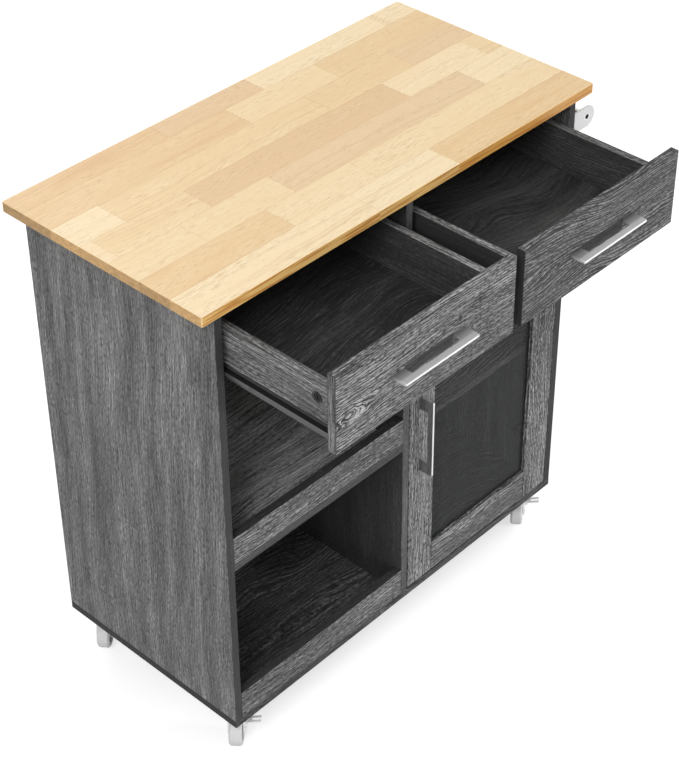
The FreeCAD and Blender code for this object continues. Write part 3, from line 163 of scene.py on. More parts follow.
def makeWorktopWood(look):
    material, add = newMaterial("rubberwoodSandedOiled")
    low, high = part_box("worktop")
    width, length = look["staveWidth"], look["staveLength"]
    place = add("TexCoord")
    x, y, z = add("SeparateXYZ", {}, {0: place.outputs["Object"]}).outputs
    row = add("Math", {"operation": "MULTIPLY_ADD", 1: 1 / width, 2: -low[1] / width}, {0: y})
    rowInside = add("Clamp", {"Min": 0.001, "Max": (high[1] - low[1]) / width - 0.001}, {"Value": row})
    rowIndex = add("Math", {"operation": "FLOOR"}, {0: rowInside})
    rowShare = add("Math", {"operation": "FRACT"}, {0: rowInside})
    # fingers: a zigzag moves the joint to and fro across the stave
    zigzag = add("Math", {"operation": "PINGPONG", 1: look["fingerPitch"] / 2}, {0: y})
    fingers = add("Math", {"operation": "MULTIPLY", 1: 2 * look["fingerDepth"] / look["fingerPitch"]},
                  {0: zigzag})
    swingIn = add("Math", {"operation": "MULTIPLY_ADD", 1: look["swingTurn"]}, {0: x, 2: rowIndex})
    swingWave = add("Math", {"operation": "SINE"}, {0: swingIn})
    swing = add("Math", {"operation": "MULTIPLY_ADD", 1: look["lengthSwing"]}, {0: swingWave, 2: fingers})
    along = add("Math", {"operation": "ADD"}, {0: x, 1: swing})
    rowStep = add("Math", {"operation": "MULTIPLY", 1: look["rowStep"]}, {0: rowIndex})
    rowStart = add("Math", {"operation": "FRACT"}, {0: rowStep})
    rowShift = add("Math", {"operation": "ADD", 1: -low[0] / length}, {0: rowStart})
    course = add("Math", {"operation": "MULTIPLY_ADD", 1: 1 / length}, {0: along, 2: rowShift})
    staveIndex = add("Math", {"operation": "FLOOR"}, {0: course})
    staveShare = add("Math", {"operation": "FRACT"}, {0: course})
    staveKey = add("CombineXYZ", {}, {0: staveIndex, 1: rowIndex})
    staveLuck = add("TexWhiteNoise", {"noise_dimensions": "2D"}, {"Vector": staveKey})
    luck = staveLuck.outputs["Value"]

    # each stave is cut from another place in the tree, so its grain starts elsewhere
    moveAlong = add("Math", {"operation": "MULTIPLY_ADD", 1: look["cutAlong"]}, {0: luck, 2: x})
    moveAcross = add("Math", {"operation": "MULTIPLY_ADD", 1: look["cutAcross"]}, {0: luck, 2: y})
    swayIn = add("CombineXYZ", {}, {0: moveAlong, 1: moveAcross, 2: z})
    sway = stretchedNoise(add, swayIn, look["swayScale"], {"Detail": 1.0})
    swayed = add("Math", {"operation": "MULTIPLY_ADD", 1: look["sway"]}, {0: sway, 2: moveAcross})
    grain = add("CombineXYZ", {}, {0: moveAlong, 1: swayed, 2: z})

    def grainNoise(kind, settings):   # noise as long and wide as the look's sizes of that kind
        scale = (1 / look[kind + "Length"], 1 / look[kind + "Width"], look["through"][kind])
        return stretchedNoise(add, grain, scale, settings)

    rings = grainNoise("ring", {"Detail": 1.5, "Roughness": 0.5})
    ringLines = add("MapRange", {"From Min": 0.52, "From Max": 0.74}, {"Value": rings})
    ringLuck = add("MapRange", {"From Min": 0.25, "From Max": 0.95, "To Min": 0.06, "To Max": 0.42},
                   {"Value": staveLuck.outputs["Color"]})
    ringShow = add("Math", {"operation": "MULTIPLY"}, {0: ringLines, 1: ringLuck})
    fibres = grainNoise("fibre", {"Detail": 2.0, "Roughness": 0.6})
    pores = add("MapRange", {"From Min": 0.66, "From Max": 0.76, "To Max": 0.5},
                {"Value": grainNoise("pore", {"Detail": 1.0})})
    drift = stretchedNoise(add, grain, look["driftScale"], {"Detail": 2.0})
    dashes = add("MapRange", {"From Min": 0.5, "From Max": 0.72, "To Max": 0.55},
                 {"Value": grainNoise("dash", {"Detail": 1.0})})
    dashDrift = add("MapRange", {"From Min": 0.42, "From Max": 0.62, "To Min": 0.12}, {"Value": drift})
    dashShow = add("Math", {"operation": "MULTIPLY"}, {0: dashes, 1: dashDrift})

    toneLuck = add("Math", {"operation": "MULTIPLY_ADD", 1: look["luckShow"], 2: look["luckStart"]},
                   {0: luck})
    toneDrift = add("Math", {"operation": "MULTIPLY_ADD", 1: look["driftShow"]}, {0: drift, 2: toneLuck})
    toneFibre = add("Math", {"operation": "MULTIPLY_ADD", 1: look["fibreShow"], 2: -look["fibreShow"] / 2},
                    {0: fibres})
    tone = add("Math", {"operation": "ADD"}, {0: toneDrift, 1: toneFibre})
    colour = add("ValToRGB", {}, {0: tone})
    setRamp(colour, look["tones"])
    brownest = None
    for rowOfStave, placeInRow in look["brownStaves"]:
        sameRow = add("Math", {"operation": "COMPARE", 1: rowOfStave, 2: 0.1}, {0: rowIndex})
        sameStave = add("Math", {"operation": "COMPARE", 1: placeInRow, 2: 0.1}, {0: staveIndex})
        thisStave = add("Math", {"operation": "MULTIPLY"}, {0: sameRow, 1: sameStave})
        if brownest:
            thisStave = add("Math", {"operation": "MAXIMUM"}, {0: brownest, 1: thisStave})
        brownest = thisStave
    heartwood = add("Math", {"operation": "MULTIPLY", 1: look["brownShow"]}, {0: brownest})
    rowEdge = add("Math", {"operation": "PINGPONG", 1: 0.5}, {0: rowShare})
    rowLine = add("MapRange", {"From Max": look["rowLine"], "To Min": look["rowLineShow"], "To Max": 0.0},
                  {"Value": rowEdge})
    jointEdge = add("Math", {"operation": "PINGPONG", 1: 0.5}, {0: staveShare})
    jointLine = add("MapRange", {"From Max": look["jointLine"], "To Min": look["jointLineShow"],
                                 "To Max": 0.0}, {"Value": jointEdge})
    seam = add("Math", {"operation": "MAXIMUM"}, {0: rowLine, 1: jointLine})
    layers = ((heartwood, "brown"), (ringShow, "figure"), (dashShow, "dash"), (pores, "pore"),
              (seam, "figure"))
    for share, layer in layers:
        colour = add("Mix", {"data_type": "RGBA", 7: hexColor(look[layer])}, {0: share, 6: colour}).outputs[2]

    # the edges: end grain at the sides, and the long side of the outer staves in front and behind
    facing = add("SeparateXYZ", {}, {0: place.outputs["Normal"]})
    endMask = facingShare(add, facing, 0, full=0.95)
    sideMask = facingShare(add, facing, 1, full=0.95)
    endNoise = stretchedNoise(add, grain, look["endScale"], {"Detail": 2.0, "Distortion": 0.6})
    endTone = add("MapRange", {"From Min": 0.3, "From Max": 0.7, "To Min": 0.72, "To Max": 1.12},
                  {"Value": endNoise})
    endLuck = add("MapRange", {"To Min": 0.78, "To Max": 1.12}, {"Value": luck})
    endShade = add("Math", {"operation": "MULTIPLY"}, {0: endTone, 1: endLuck})
    endTint = add("VectorMath", {"operation": "SCALE", 0: hexColor(look["endGrain"])[:3]},
                  {"Scale": endShade})
    sideNoise = stretchedNoise(add, grain, (9.0, 1.0, 1 / look["edgeLine"]), {"Detail": 2.0})
    sideTone = add("MapRange", {"From Min": 0.3, "From Max": 0.7, "To Min": 0.9, "To Max": 1.1},
                   {"Value": sideNoise})
    sideLuck = add("MapRange", {"From Min": 0.35, "From Max": 0.65}, {"Value": luck})
    sideHue = add("Mix", {"data_type": "RGBA", 6: hexColor(look["frontEdge"]),
                          7: hexColor(look["frontEdgePale"])}, {0: sideLuck})
    sideGrain = add("MapRange", {"From Min": 0.48, "From Max": 0.62, "To Max": 0.85}, {"Value": sideNoise})
    sideLined = add("Mix", {"data_type": "RGBA", 7: hexColor(look["frontEdgeLine"])},
                    {0: sideGrain, 6: sideHue.outputs[2]})
    sideTint = add("VectorMath", {"operation": "SCALE"}, {0: sideLined.outputs[2], "Scale": sideTone})
    for mask, tint in ((endMask, endTint), (sideMask, sideTint)):
        colour = add("Mix", {"data_type": "RGBA"}, {0: mask, 6: colour, 7: tint}).outputs[2]

    sheen = add("MapRange", {"From Min": 0.3, "From Max": 0.7, "To Min": look["roughness"] - 0.06,
                             "To Max": look["roughness"] + 0.08}, {"Value": fibres})
    reliefIn = add("Math", {"operation": "SUBTRACT"}, {0: fibres, 1: pores})
    relief = add("Bump", {"Strength": look["relief"], "Distance": look["reliefDepth"]}, {"Height": reliefIn})
    shader = add("BsdfPrincipled", {"Specular IOR Level": 0.35},
                 {"Base Color": colour, "Roughness": sheen, "Normal": relief})
    add("OutputMaterial", {}, {0: shader})
    return material


dress(["worktop"], makeWorktopWood(worktopLook))
print("worktop dressed")


# Sawn-oak laminate on board: a printed grey paper under melamine, pressed on an embossed plate.
# That gives a matte grey with fine raised fibres, dark pores and darker arrises at the edge bands.

laminateLook = {
    "deep": "#222222",
    "low": "#4a4a4a",
    "mid": "#707070",
    "high": "#b4b4b4",
    "arrisTone": "#242424",
    "arris": 1.1 * mm,
    "arrisShow": 0.5,
    "paintedShadeTone": "#303030",      # painted shade: the dark tone that faces inside the cart and the other shaded faces are mixed towards
    "fibreLength": 55 * mm,
    "fibreWidth": 1.3 * mm,      # real fibres are half as wide, too fine to show
    "fibreShow": 0.6,
    "dashLength": 9 * mm,        # short fibre ends between the long fibres
    "dashWidth": 1.2 * mm,
    "dashShow": 0.6,
    "strandLength": 170 * mm,
    "strandWidth": 3.2 * mm,
    "strandShow": 0.3,
    "bandLength": 450 * mm,
    "bandWidth": 40 * mm,
    "ring": 5.2 * mm,            # spacing of the printed lines; the real ones are half as far apart
    "ringShow": 0.14,
    "ringWander": 9 * mm,        # how far the lines wander, in waves of the next two sizes
    "ringWaveLength": 70 * mm,
    "ringWaveWidth": 9 * mm,
    "ringEverywhere": 0.4,
    "bandShow": 0.3,
    "poreShow": 0.1,
    "poreLength": 9 * mm,
    "poreWidth": 1.3 * mm,
    "warp": 30 * mm,             # how far the grain sways off its length
    "warpLength": 300 * mm,
    "warpWidth": 95 * mm,
    "lean": 0.0,                 # how steeply the grain leans
    "depthShare": 0.83,          # how far the print moves on through the depth, over the arrises
    "seedShares": (1.7, 3.7, 0.61),   # how far the seed moves the print along, in its sway and across
    "roughness": 0.6,
    "relief": 0.25,
    "reliefDepth": 0.3 * mm,
    "paintedShadeFaces": [],             # (axis, sign, share of the print that stays) for the faces in painted shade
}


def makeLaminate(node, look):
    material, add = newMaterial("laminateSawnOak_" + node)
    low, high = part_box(node)
    place = add("TexCoord")
    axes = add("SeparateXYZ", {}, {0: place.outputs["Object"]})
    lengthAxis, widthAxis, depthAxis = {"x": (0, 2, 1), "y": (1, 2, 0), "z": (2, 0, 1)}[look["along"]]
    # the seed moves the print, so that no two boards show the same part of it
    seedAlong, seedSway, seedAcross = (share * look["seed"] for share in look["seedShares"])
    middle = [a + share * (b - a) for share, a, b in zip(look.get("knot", (0.5, 0.5, 0.5)), low, high)]
    local = add("VectorMath", {"operation": "SUBTRACT", 1: middle}, {0: place.outputs["Object"]})
    offsets = add("SeparateXYZ", {}, {0: local}).outputs
    widthAndDepth = add("Math", {"operation": "MULTIPLY_ADD", 1: look["depthShare"]},
                        {0: offsets[depthAxis], 2: offsets[widthAxis]})
    across = add("Math", {"operation": "MULTIPLY_ADD", 1: look["lean"]},
                 {0: offsets[lengthAxis], 2: widthAndDepth})
    along = add("Math", {"operation": "ADD", 1: seedAlong}, {0: offsets[lengthAxis]})
    # slow sway of the grain, which makes the sweeping figure
    warpIn = add("CombineXYZ", {2: seedSway}, {0: along, 1: across})
    warp = stretchedNoise(add, warpIn, (1 / look["warpLength"], 1 / look["warpWidth"], 1.0),
                          {"Detail": 1.0, "Roughness": 0.4})
    swayed = add("Math", {"operation": "MULTIPLY_ADD", 1: look["warp"]}, {0: warp, 2: across})
    if "knot" in look:
        # a knot: the grain closes into rings round its middle
        squeeze = [1.0, 1.0, 1.0]
        squeeze[lengthAxis] = look["knotStretch"]
        pressed = add("VectorMath", {"operation": "MULTIPLY", 1: squeeze}, {0: local})
        radius = add("VectorMath", {"operation": "LENGTH"}, {0: pressed}).outputs["Value"]
        nearKnot = add("MapRange", {"interpolation_type": "SMOOTHERSTEP", "From Min": 0.0,
                                    "From Max": look["knotReach"], "To Min": 1.0, "To Max": 0.0},
                       {"Value": radius})
        knotWave = add("TexNoise", {"Scale": look["knotWaves"], "Detail": 2.0},
                       {"Vector": place.outputs["Object"]})
        knotRing = add("Math", {"operation": "MULTIPLY_ADD", 1: look["knotWander"]},
                       {0: knotWave.outputs["Fac"], 2: radius})
        swayed = add("Mix", {"data_type": "FLOAT"}, {0: nearKnot, 2: swayed, 3: knotRing})
    shifted = add("Math", {"operation": "ADD", 1: seedAcross}, {0: swayed})
    lengthGrain = add("CombineXYZ", {}, {0: along, 1: shifted})
    # on the ends of the board the band's print runs up the edge
    facing = add("SeparateXYZ", {}, {0: place.outputs["Normal"]})
    endMask = facingShare(add, facing, lengthAxis)
    endGrain = add("CombineXYZ", {}, {0: offsets[widthAxis], 1: offsets[depthAxis]})
    grain = add("Mix", {"data_type": "VECTOR"}, {0: endMask, 4: lengthGrain, 5: endGrain}).outputs[1]

    def grainNoise(kind, detail=1.0):   # noise as long and wide as the look's sizes of that kind
        return stretchedNoise(add, grain, (1 / look[kind + "Length"], 1 / look[kind + "Width"], 1.0),
                              {"noise_dimensions": "2D", "Detail": detail, "Roughness": 0.55})

    fibres = grainNoise("fibre")
    strands = grainNoise("strand")
    bands = grainNoise("band")
    dashes = grainNoise("dash")
    pores = add("MapRange", {"From Min": 0.6, "From Max": 0.75}, {"Value": grainNoise("pore", 0.0)})
    # rings: even lines that follow the sway, seen in some places only
    ringShift = add("Math", {"operation": "MULTIPLY_ADD", 1: look["ringWander"]},
                    {0: grainNoise("ringWave"), 2: shifted})
    ringIn = add("Math", {"operation": "MULTIPLY", 1: 2 * math.pi / look["ring"]}, {0: ringShift})
    rings = add("Math", {"operation": "SINE"}, {0: ringIn})
    ringPatch = add("MapRange", {"From Min": 0.42, "From Max": 0.62, "To Min": look["ringEverywhere"]},
                    {"Value": bands})
    if "knot" in look:   # the rings show wherever the knot reaches
        ringPatch = add("Math", {"operation": "MULTIPLY_ADD", 1: look["knotShow"]},
                        {0: nearKnot, 2: ringPatch})
    sidesOnly = add("Math", {"operation": "SUBTRACT", 0: 1.0}, {1: endMask})
    ringPlace = add("Math", {"operation": "MULTIPLY"}, {0: ringPatch, 1: sidesOnly})
    ringBreaks = add("MapRange", {"From Min": 0.4, "From Max": 0.6, "To Min": 0.35, "To Max": 1.1},
                     {"Value": dashes})
    ringBroken = add("Math", {"operation": "MULTIPLY"}, {0: ringPlace, 1: ringBreaks})
    ringLines = add("Math", {"operation": "MULTIPLY"}, {0: rings, 1: ringBroken})

    value = add("Math", {"operation": "MULTIPLY_ADD", 1: look["fibreShow"], 2: 0.5 - look["fibreShow"] / 2},
                {0: fibres})
    shares = [(source, look[show], -look[show] / 2) for source, show in
              ((dashes, "dashShow"), (strands, "strandShow"), (bands, "bandShow"))]
    shares += [(ringLines, look["ringShow"], 0.0), (pores, -look["poreShow"], 0.0)]
    for source, show, rest in shares:
        part = add("Math", {"operation": "MULTIPLY_ADD", 1: show, 2: rest}, {0: source})
        value = add("Math", {"operation": "ADD"}, {0: value, 1: part})
    printed = add("ValToRGB", {}, {0: value})
    setRamp(printed, [(0.12, look["deep"]), (0.38, look["low"]), (0.53, look["mid"]), (0.84, look["high"])])

    # distance to the nearest arris of this board: the middle one of the three distances to its faces
    gaps = []
    for axis in range(3):
        outward = awayFrom(add, axes.outputs[axis], (low[axis] + high[axis]) / 2)
        gaps.append(add("Math", {"operation": "SUBTRACT", 0: (high[axis] - low[axis]) / 2}, {1: outward}))
    nearPair = add("Math", {"operation": "MINIMUM"}, {0: gaps[0], 1: gaps[1]})
    farPair = add("Math", {"operation": "MAXIMUM"}, {0: gaps[0], 1: gaps[1]})
    farOrThird = add("Math", {"operation": "MINIMUM"}, {0: farPair, 1: gaps[2]})
    toArris = add("Math", {"operation": "MAXIMUM"}, {0: nearPair, 1: farOrThird})
    arris = add("MapRange", {"From Min": look["arris"] * 0.65, "From Max": look["arris"],
                             "To Min": look["arrisShow"], "To Max": 0.0}, {"Value": toArris})
    edged = add("Mix", {"data_type": "RGBA", 7: hexColor(look["arrisTone"])}, {0: arris, 6: printed})
    colour = edged.outputs[2]

    # painted shade: faces that look into the cart, undersides, sides beside other parts and some front edges
    # are mixed towards a dark tone by the way they face
    paintedShadeShares = [facingShare(add, facing, axis, sign, 0.0, 1 - stays)
                  for axis, sign, stays in look["paintedShadeFaces"]]
    if "paintedPullShadow" in look:
        # painted shadow of the pull: between its legs and a little under it the front is darkened
        sides = []
        for axis, most in ((0, 1.0), (2, look["paintedPullShadowShare"])):
            first, last = (corner[axis] for corner in look["paintedPullShadow"])
            half = (last - first) / 2
            sides.append(add("MapRange", {"From Min": half - look["paintedPullShadowFade"], "From Max": half,
                                          "To Min": most, "To Max": 0.0},
                             {"Value": awayFrom(add, axes.outputs[axis], (first + last) / 2)}))
        paintedShadeShares.append(add("Math", {"operation": "MULTIPLY"}, {0: sides[0], 1: sides[1]}))
    for share in paintedShadeShares:
        darker = add("Mix", {"data_type": "RGBA", 7: hexColor(look["paintedShadeTone"])}, {0: share, 6: colour})
        colour = darker.outputs[2]

    relief = add("Bump", {"Strength": look["relief"], "Distance": look["reliefDepth"]}, {"Height": value})
    gloss = add("MapRange", {"From Min": 0.3, "From Max": 0.7, "To Min": look["roughness"] + 0.07,
                             "To Max": look["roughness"] - 0.05}, {"Value": value})
    shader = add("BsdfPrincipled", {"Specular IOR Level": 0.2},
                 {"Base Color": colour, "Roughness": gloss, "Normal": relief})
    add("OutputMaterial", {}, {0: shader})
    return material


inner = 0.2     # share of the print that shows through the painted shade on faces inside the cart
edge = 0.1      # and on the banded front edges of the boards, darkened the same way
calm = {"fibreShow": 0.4, "dashShow": 0.36, "strandShow": 0.12, "bandLength": 380 * mm, "bandWidth": 24 * mm,
        "bandShow": 0.26, "poreShow": 0.1, "warp": 30 * mm, "ringShow": 0.04, "ringEverywhere": 0.0,
        "arrisShow": 0.2}
lively = {"fibreShow": 0.8, "dashShow": 0.8, "strandShow": 0.15, "bandShow": 0.3, "poreShow": 0.2,
          "ringShow": 0.2}

lined = {"arris": 1.6 * mm, "arrisShow": 0.65}    # boards whose arris shows as a dark line
pullShade = {"legs": 25 * mm, "under": 14 * mm, "over": 4 * mm, "share": 0.9, "paintedShadeFade": 3 * mm}


def behindPull(pull):   # the part of a drawer front between the legs of its pull and a little under it, which gets the painted shadow of the pull
    low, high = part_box(pull)
    corners = ((low[0] + pullShade["legs"], 0, low[2] - pullShade["under"]),
               (high[0] - pullShade["legs"], 0, high[2] + pullShade["over"]))
    return {"paintedPullShadow": corners, "paintedPullShadowShare": pullShade["share"], "paintedPullShadowFade": pullShade["paintedShadeFade"]}


boards = {
    "side_panel_left": {**calm, "along": "z", "seed": 1.3, "paintedShadeFaces": [(0, 1, inner), (1, -1, edge)],
                        "lean": 0.02},
    "side_panel_right": {**calm, "along": "z", "seed": 4.1, "paintedShadeFaces": [(0, -1, 0.95), (1, -1, 0.05)],
                         "paintedShadeTone": "#2a2a2a"},
    "base_panel": {"along": "x", "seed": 2.2, "paintedShadeTone": "#262626", "warp": 110 * mm, "ringShow": 0.2,
                   "ring": 7 * mm, "paintedShadeFaces": [(2, 1, 0.6), (0, -1, 0.02), (0, 1, 0.02), (1, -1, 0.3)]},
    "centre_divider": {**calm, "along": "z", "seed": 5.7,
                       "paintedShadeFaces": [(0, 1, inner), (0, -1, inner), (1, -1, 0.52)]},
    # painted light: the middle shelf's print is lighter than the other boards' to stand for the light on it
    "middle_shelf": {"along": "x", "seed": 7.9, "strandShow": 0.5, "low": "#8a8a8a",
                     "mid": "#b4b4b4", "high": "#ececec", "paintedShadeFaces": [(2, -1, inner), (1, -1, edge)]},
    "middle_shelf_lip": {**lively, "along": "x", "seed": 9.4, "paintedShadeFaces": [(1, 1, inner), (2, 1, 0.1)]},
    "lower_shelf_lip": {**lively, "along": "x", "seed": 11.8, "paintedShadeFaces": [(1, 1, inner), (2, 1, 0.1)]},
    "top_rail_left": {"along": "x", "seed": 12.6, "paintedShadeFaces": [(1, -1, 0.4), (2, -1, 0.3)]},
    "top_rail_right": {"along": "x", "seed": 13.9, "paintedShadeFaces": [(1, -1, 0.4), (2, -1, 0.3)]},
    # painted light: the cabinet shelf's print is lighter than the other boards' so that it shows lit through
    # the smoked glass
    "cabinet_shelf": {**lively, "along": "x", "seed": 15.2, "warp": 70 * mm, "ringShow": 0.45,
                      "ringEverywhere": 0.8, "low": "#484848", "mid": "#b4b4b4", "high": "#ececec",
                      "paintedShadeFaces": [(2, -1, 0.3), (1, -1, 0.6)]},
    "door_stile_left": {**lively, "along": "z", "seed": 17.5, "paintedShadeFaces": [(1, 1, inner)], "dashShow": 0.9,
                        "mid": "#808080", "low": "#585858"},
    "door_stile_right": {**lively, "along": "z", "seed": 19.1, "paintedShadeFaces": [(1, 1, inner)], "dashShow": 0.9},
    "door_rail_top": {**lively, "along": "x", "seed": 21.4, "paintedShadeFaces": [(1, 1, inner)]},
    "door_rail_bottom": {**lively, "along": "x", "seed": 23.3, "paintedShadeFaces": [(1, 1, inner)], "warp": 60 * mm},
    "left_drawer_front": {**lively, **lined, "along": "x", "seed": 25.6, "mid": "#7a7a7a", "ringShow": 0.24,
                          "warp": 34 * mm, "paintedShadeFaces": [(1, 1, inner), (0, -1, 0.7)],
                          "knot": (0.055, 0.0, 0.4),   # its place, as shares of the board's sides
                          "knotStretch": 0.35, "knotReach": 36 * mm, "knotShow": 1.1,
                          "knotWander": 14 * mm, "knotWaves": 55.0,   # to a metre
                          **behindPull("left_drawer_pull")},
    "right_drawer_front": {**lively, **lined, "along": "x", "seed": 28.2, "paintedShadeTone": "#242424",
                           "low": "#424242", "mid": "#545454", "high": "#929292", "ringShow": 0.3,
                           "ringEverywhere": 0.8, "warp": 100 * mm, "dashShow": 0.7,
                           "paintedShadeFaces": [(1, 1, inner), (0, -1, 0.18)], **behindPull("right_drawer_pull")},
    "left_drawer_side_left": {**lined, "along": "y", "seed": 31.7, "paintedShadeFaces": [(0, 1, inner)]},
    "left_drawer_side_right": {**lined, "along": "y", "seed": 33.8,
                               "paintedShadeFaces": [(0, -1, inner), (0, 1, inner)]},
    "left_drawer_back": {"along": "x", "seed": 35.5, "paintedShadeFaces": [(1, -1, inner)]},
    "right_drawer_side_left": {**lined, "along": "y", "seed": 37.9,
                               "paintedShadeFaces": [(0, 1, inner), (0, -1, 0.06)]},
    "right_drawer_side_right": {**lined, "along": "y", "seed": 39.4, "paintedShadeFaces": [(0, -1, inner)],
                                "warp": 80 * mm, "ringShow": 0.14},
    "right_drawer_back": {"along": "x", "seed": 41.6, "paintedShadeFaces": [(1, -1, inner)]},
}
for board, ownLook in boards.items():
    dress([board], makeLaminate(board, {**laminateLook, **ownLook}))
print("boards dressed:", len(boards))


# Thin hardboard with a charcoal print, for the back and the drawer bottoms.
# The paper is foil thin, so the sheet is smoother than the boards; its darker print is partly painted shade
# for the dim inside of the cart.

hardboardLook = {
    **laminateLook,
    "deep": "#1f1f1f",
    "low": "#2b2b2b",
    "mid": "#363636",
    "high": "#606060",
    "arris": 0.4 * mm,
    "warpLength": 260 * mm,
    "warpWidth": 110 * mm,
    "roughness": 0.5,
    "fibreShow": 0.7,
    "dashShow": 0.4,
    "poreShow": 0.05,
}
sheets = {
    "back_panel": {"along": "z", "seed": 51.3, "bandShow": 0.2},
    "left_drawer_bottom": {"along": "x", "seed": 53.1, "warp": 110 * mm, "bandShow": 0.5, "ringShow": 0.1},
    "right_drawer_bottom": {"along": "x", "seed": 57.8, "warp": 140 * mm, "bandShow": 0.5, "ringShow": 0.1,
                            "low": "#363636", "mid": "#444444"},
}
for board, ownLook in sheets.items():
    dress([board], makeLaminate(board, {**hardboardLook, **ownLook}))
print("hardboard dressed:", len(sheets))


# Metals and mouldings. Each is one surface with its own wear, built by the same few nodes.

def makeFinish(name, look):
    material, add = newMaterial(name)
    place = add("TexCoord")
    grit = stretchedNoise(add, place.outputs["Object"], [1 / (g * mm) for g in look["grit"]], {"Detail": 2.0})
    cloud = add("TexNoise", {"Scale": 30.0, "Detail": 2.0}, {"Vector": place.outputs["Object"]})
    both = add("Math", {"operation": "MULTIPLY_ADD", 1: 0.4}, {0: cloud.outputs["Fac"], 2: grit})
    tone = add("MapRange", {"From Min": 0.45, "From Max": 0.95, "To Min": 1 - look["spread"],
                            "To Max": 1 + look["spread"] * 0.6}, {"Value": both})
    colour = add("VectorMath", {"operation": "SCALE", 0: hexColor(look["colour"])[:3]}, {"Scale": tone})
    shades = []
    if "paintedShadeFade" in look:
        start, end, share = look["paintedShadeFade"]
        depth = add("SeparateXYZ", {}, {0: place.outputs["Object"]}).outputs[1]
        shades.append(add("MapRange", {"From Min": start, "From Max": end, "To Min": 1.0, "To Max": share},
                          {"Value": depth}))
    if "paintedShadeFaces" in look:
        facing = add("SeparateXYZ", {}, {0: place.outputs["Normal"]})
        shades += [facingShare(add, facing, axis, sign, 1.0, share)
                   for axis, sign, share in look["paintedShadeFaces"]]
    for shade in shades:
        colour = add("VectorMath", {"operation": "SCALE"}, {0: colour, "Scale": shade})
    gloss = add("MapRange", {"From Min": 0.4, "From Max": 1.0, "To Min": look["roughness"] - look["swing"],
                             "To Max": look["roughness"] + look["swing"]}, {"Value": both})
    relief = add("Bump", {"Strength": look["bump"], "Distance": 0.1 * mm}, {"Height": grit})
    shader = add("BsdfPrincipled", {"Metallic": look.get("metallic", 0.0)},
                 {"Base Color": colour, "Roughness": gloss, "Normal": relief})
    if "specular" in look:
        shader.inputs["Specular IOR Level"].default_value = look["specular"]
    add("OutputMaterial", {}, {0: shader})
    return material


barDepth, legLength = 10 * mm, 18 * mm   # of the pulls, from front to back


def legPaintedReflection(pull, share):   # painted reflection: the legs darken from the back of the bar to the board, as they would mirror the darker board
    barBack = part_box(pull)[0][1] + barDepth
    return (barBack, barBack + legLength, share)


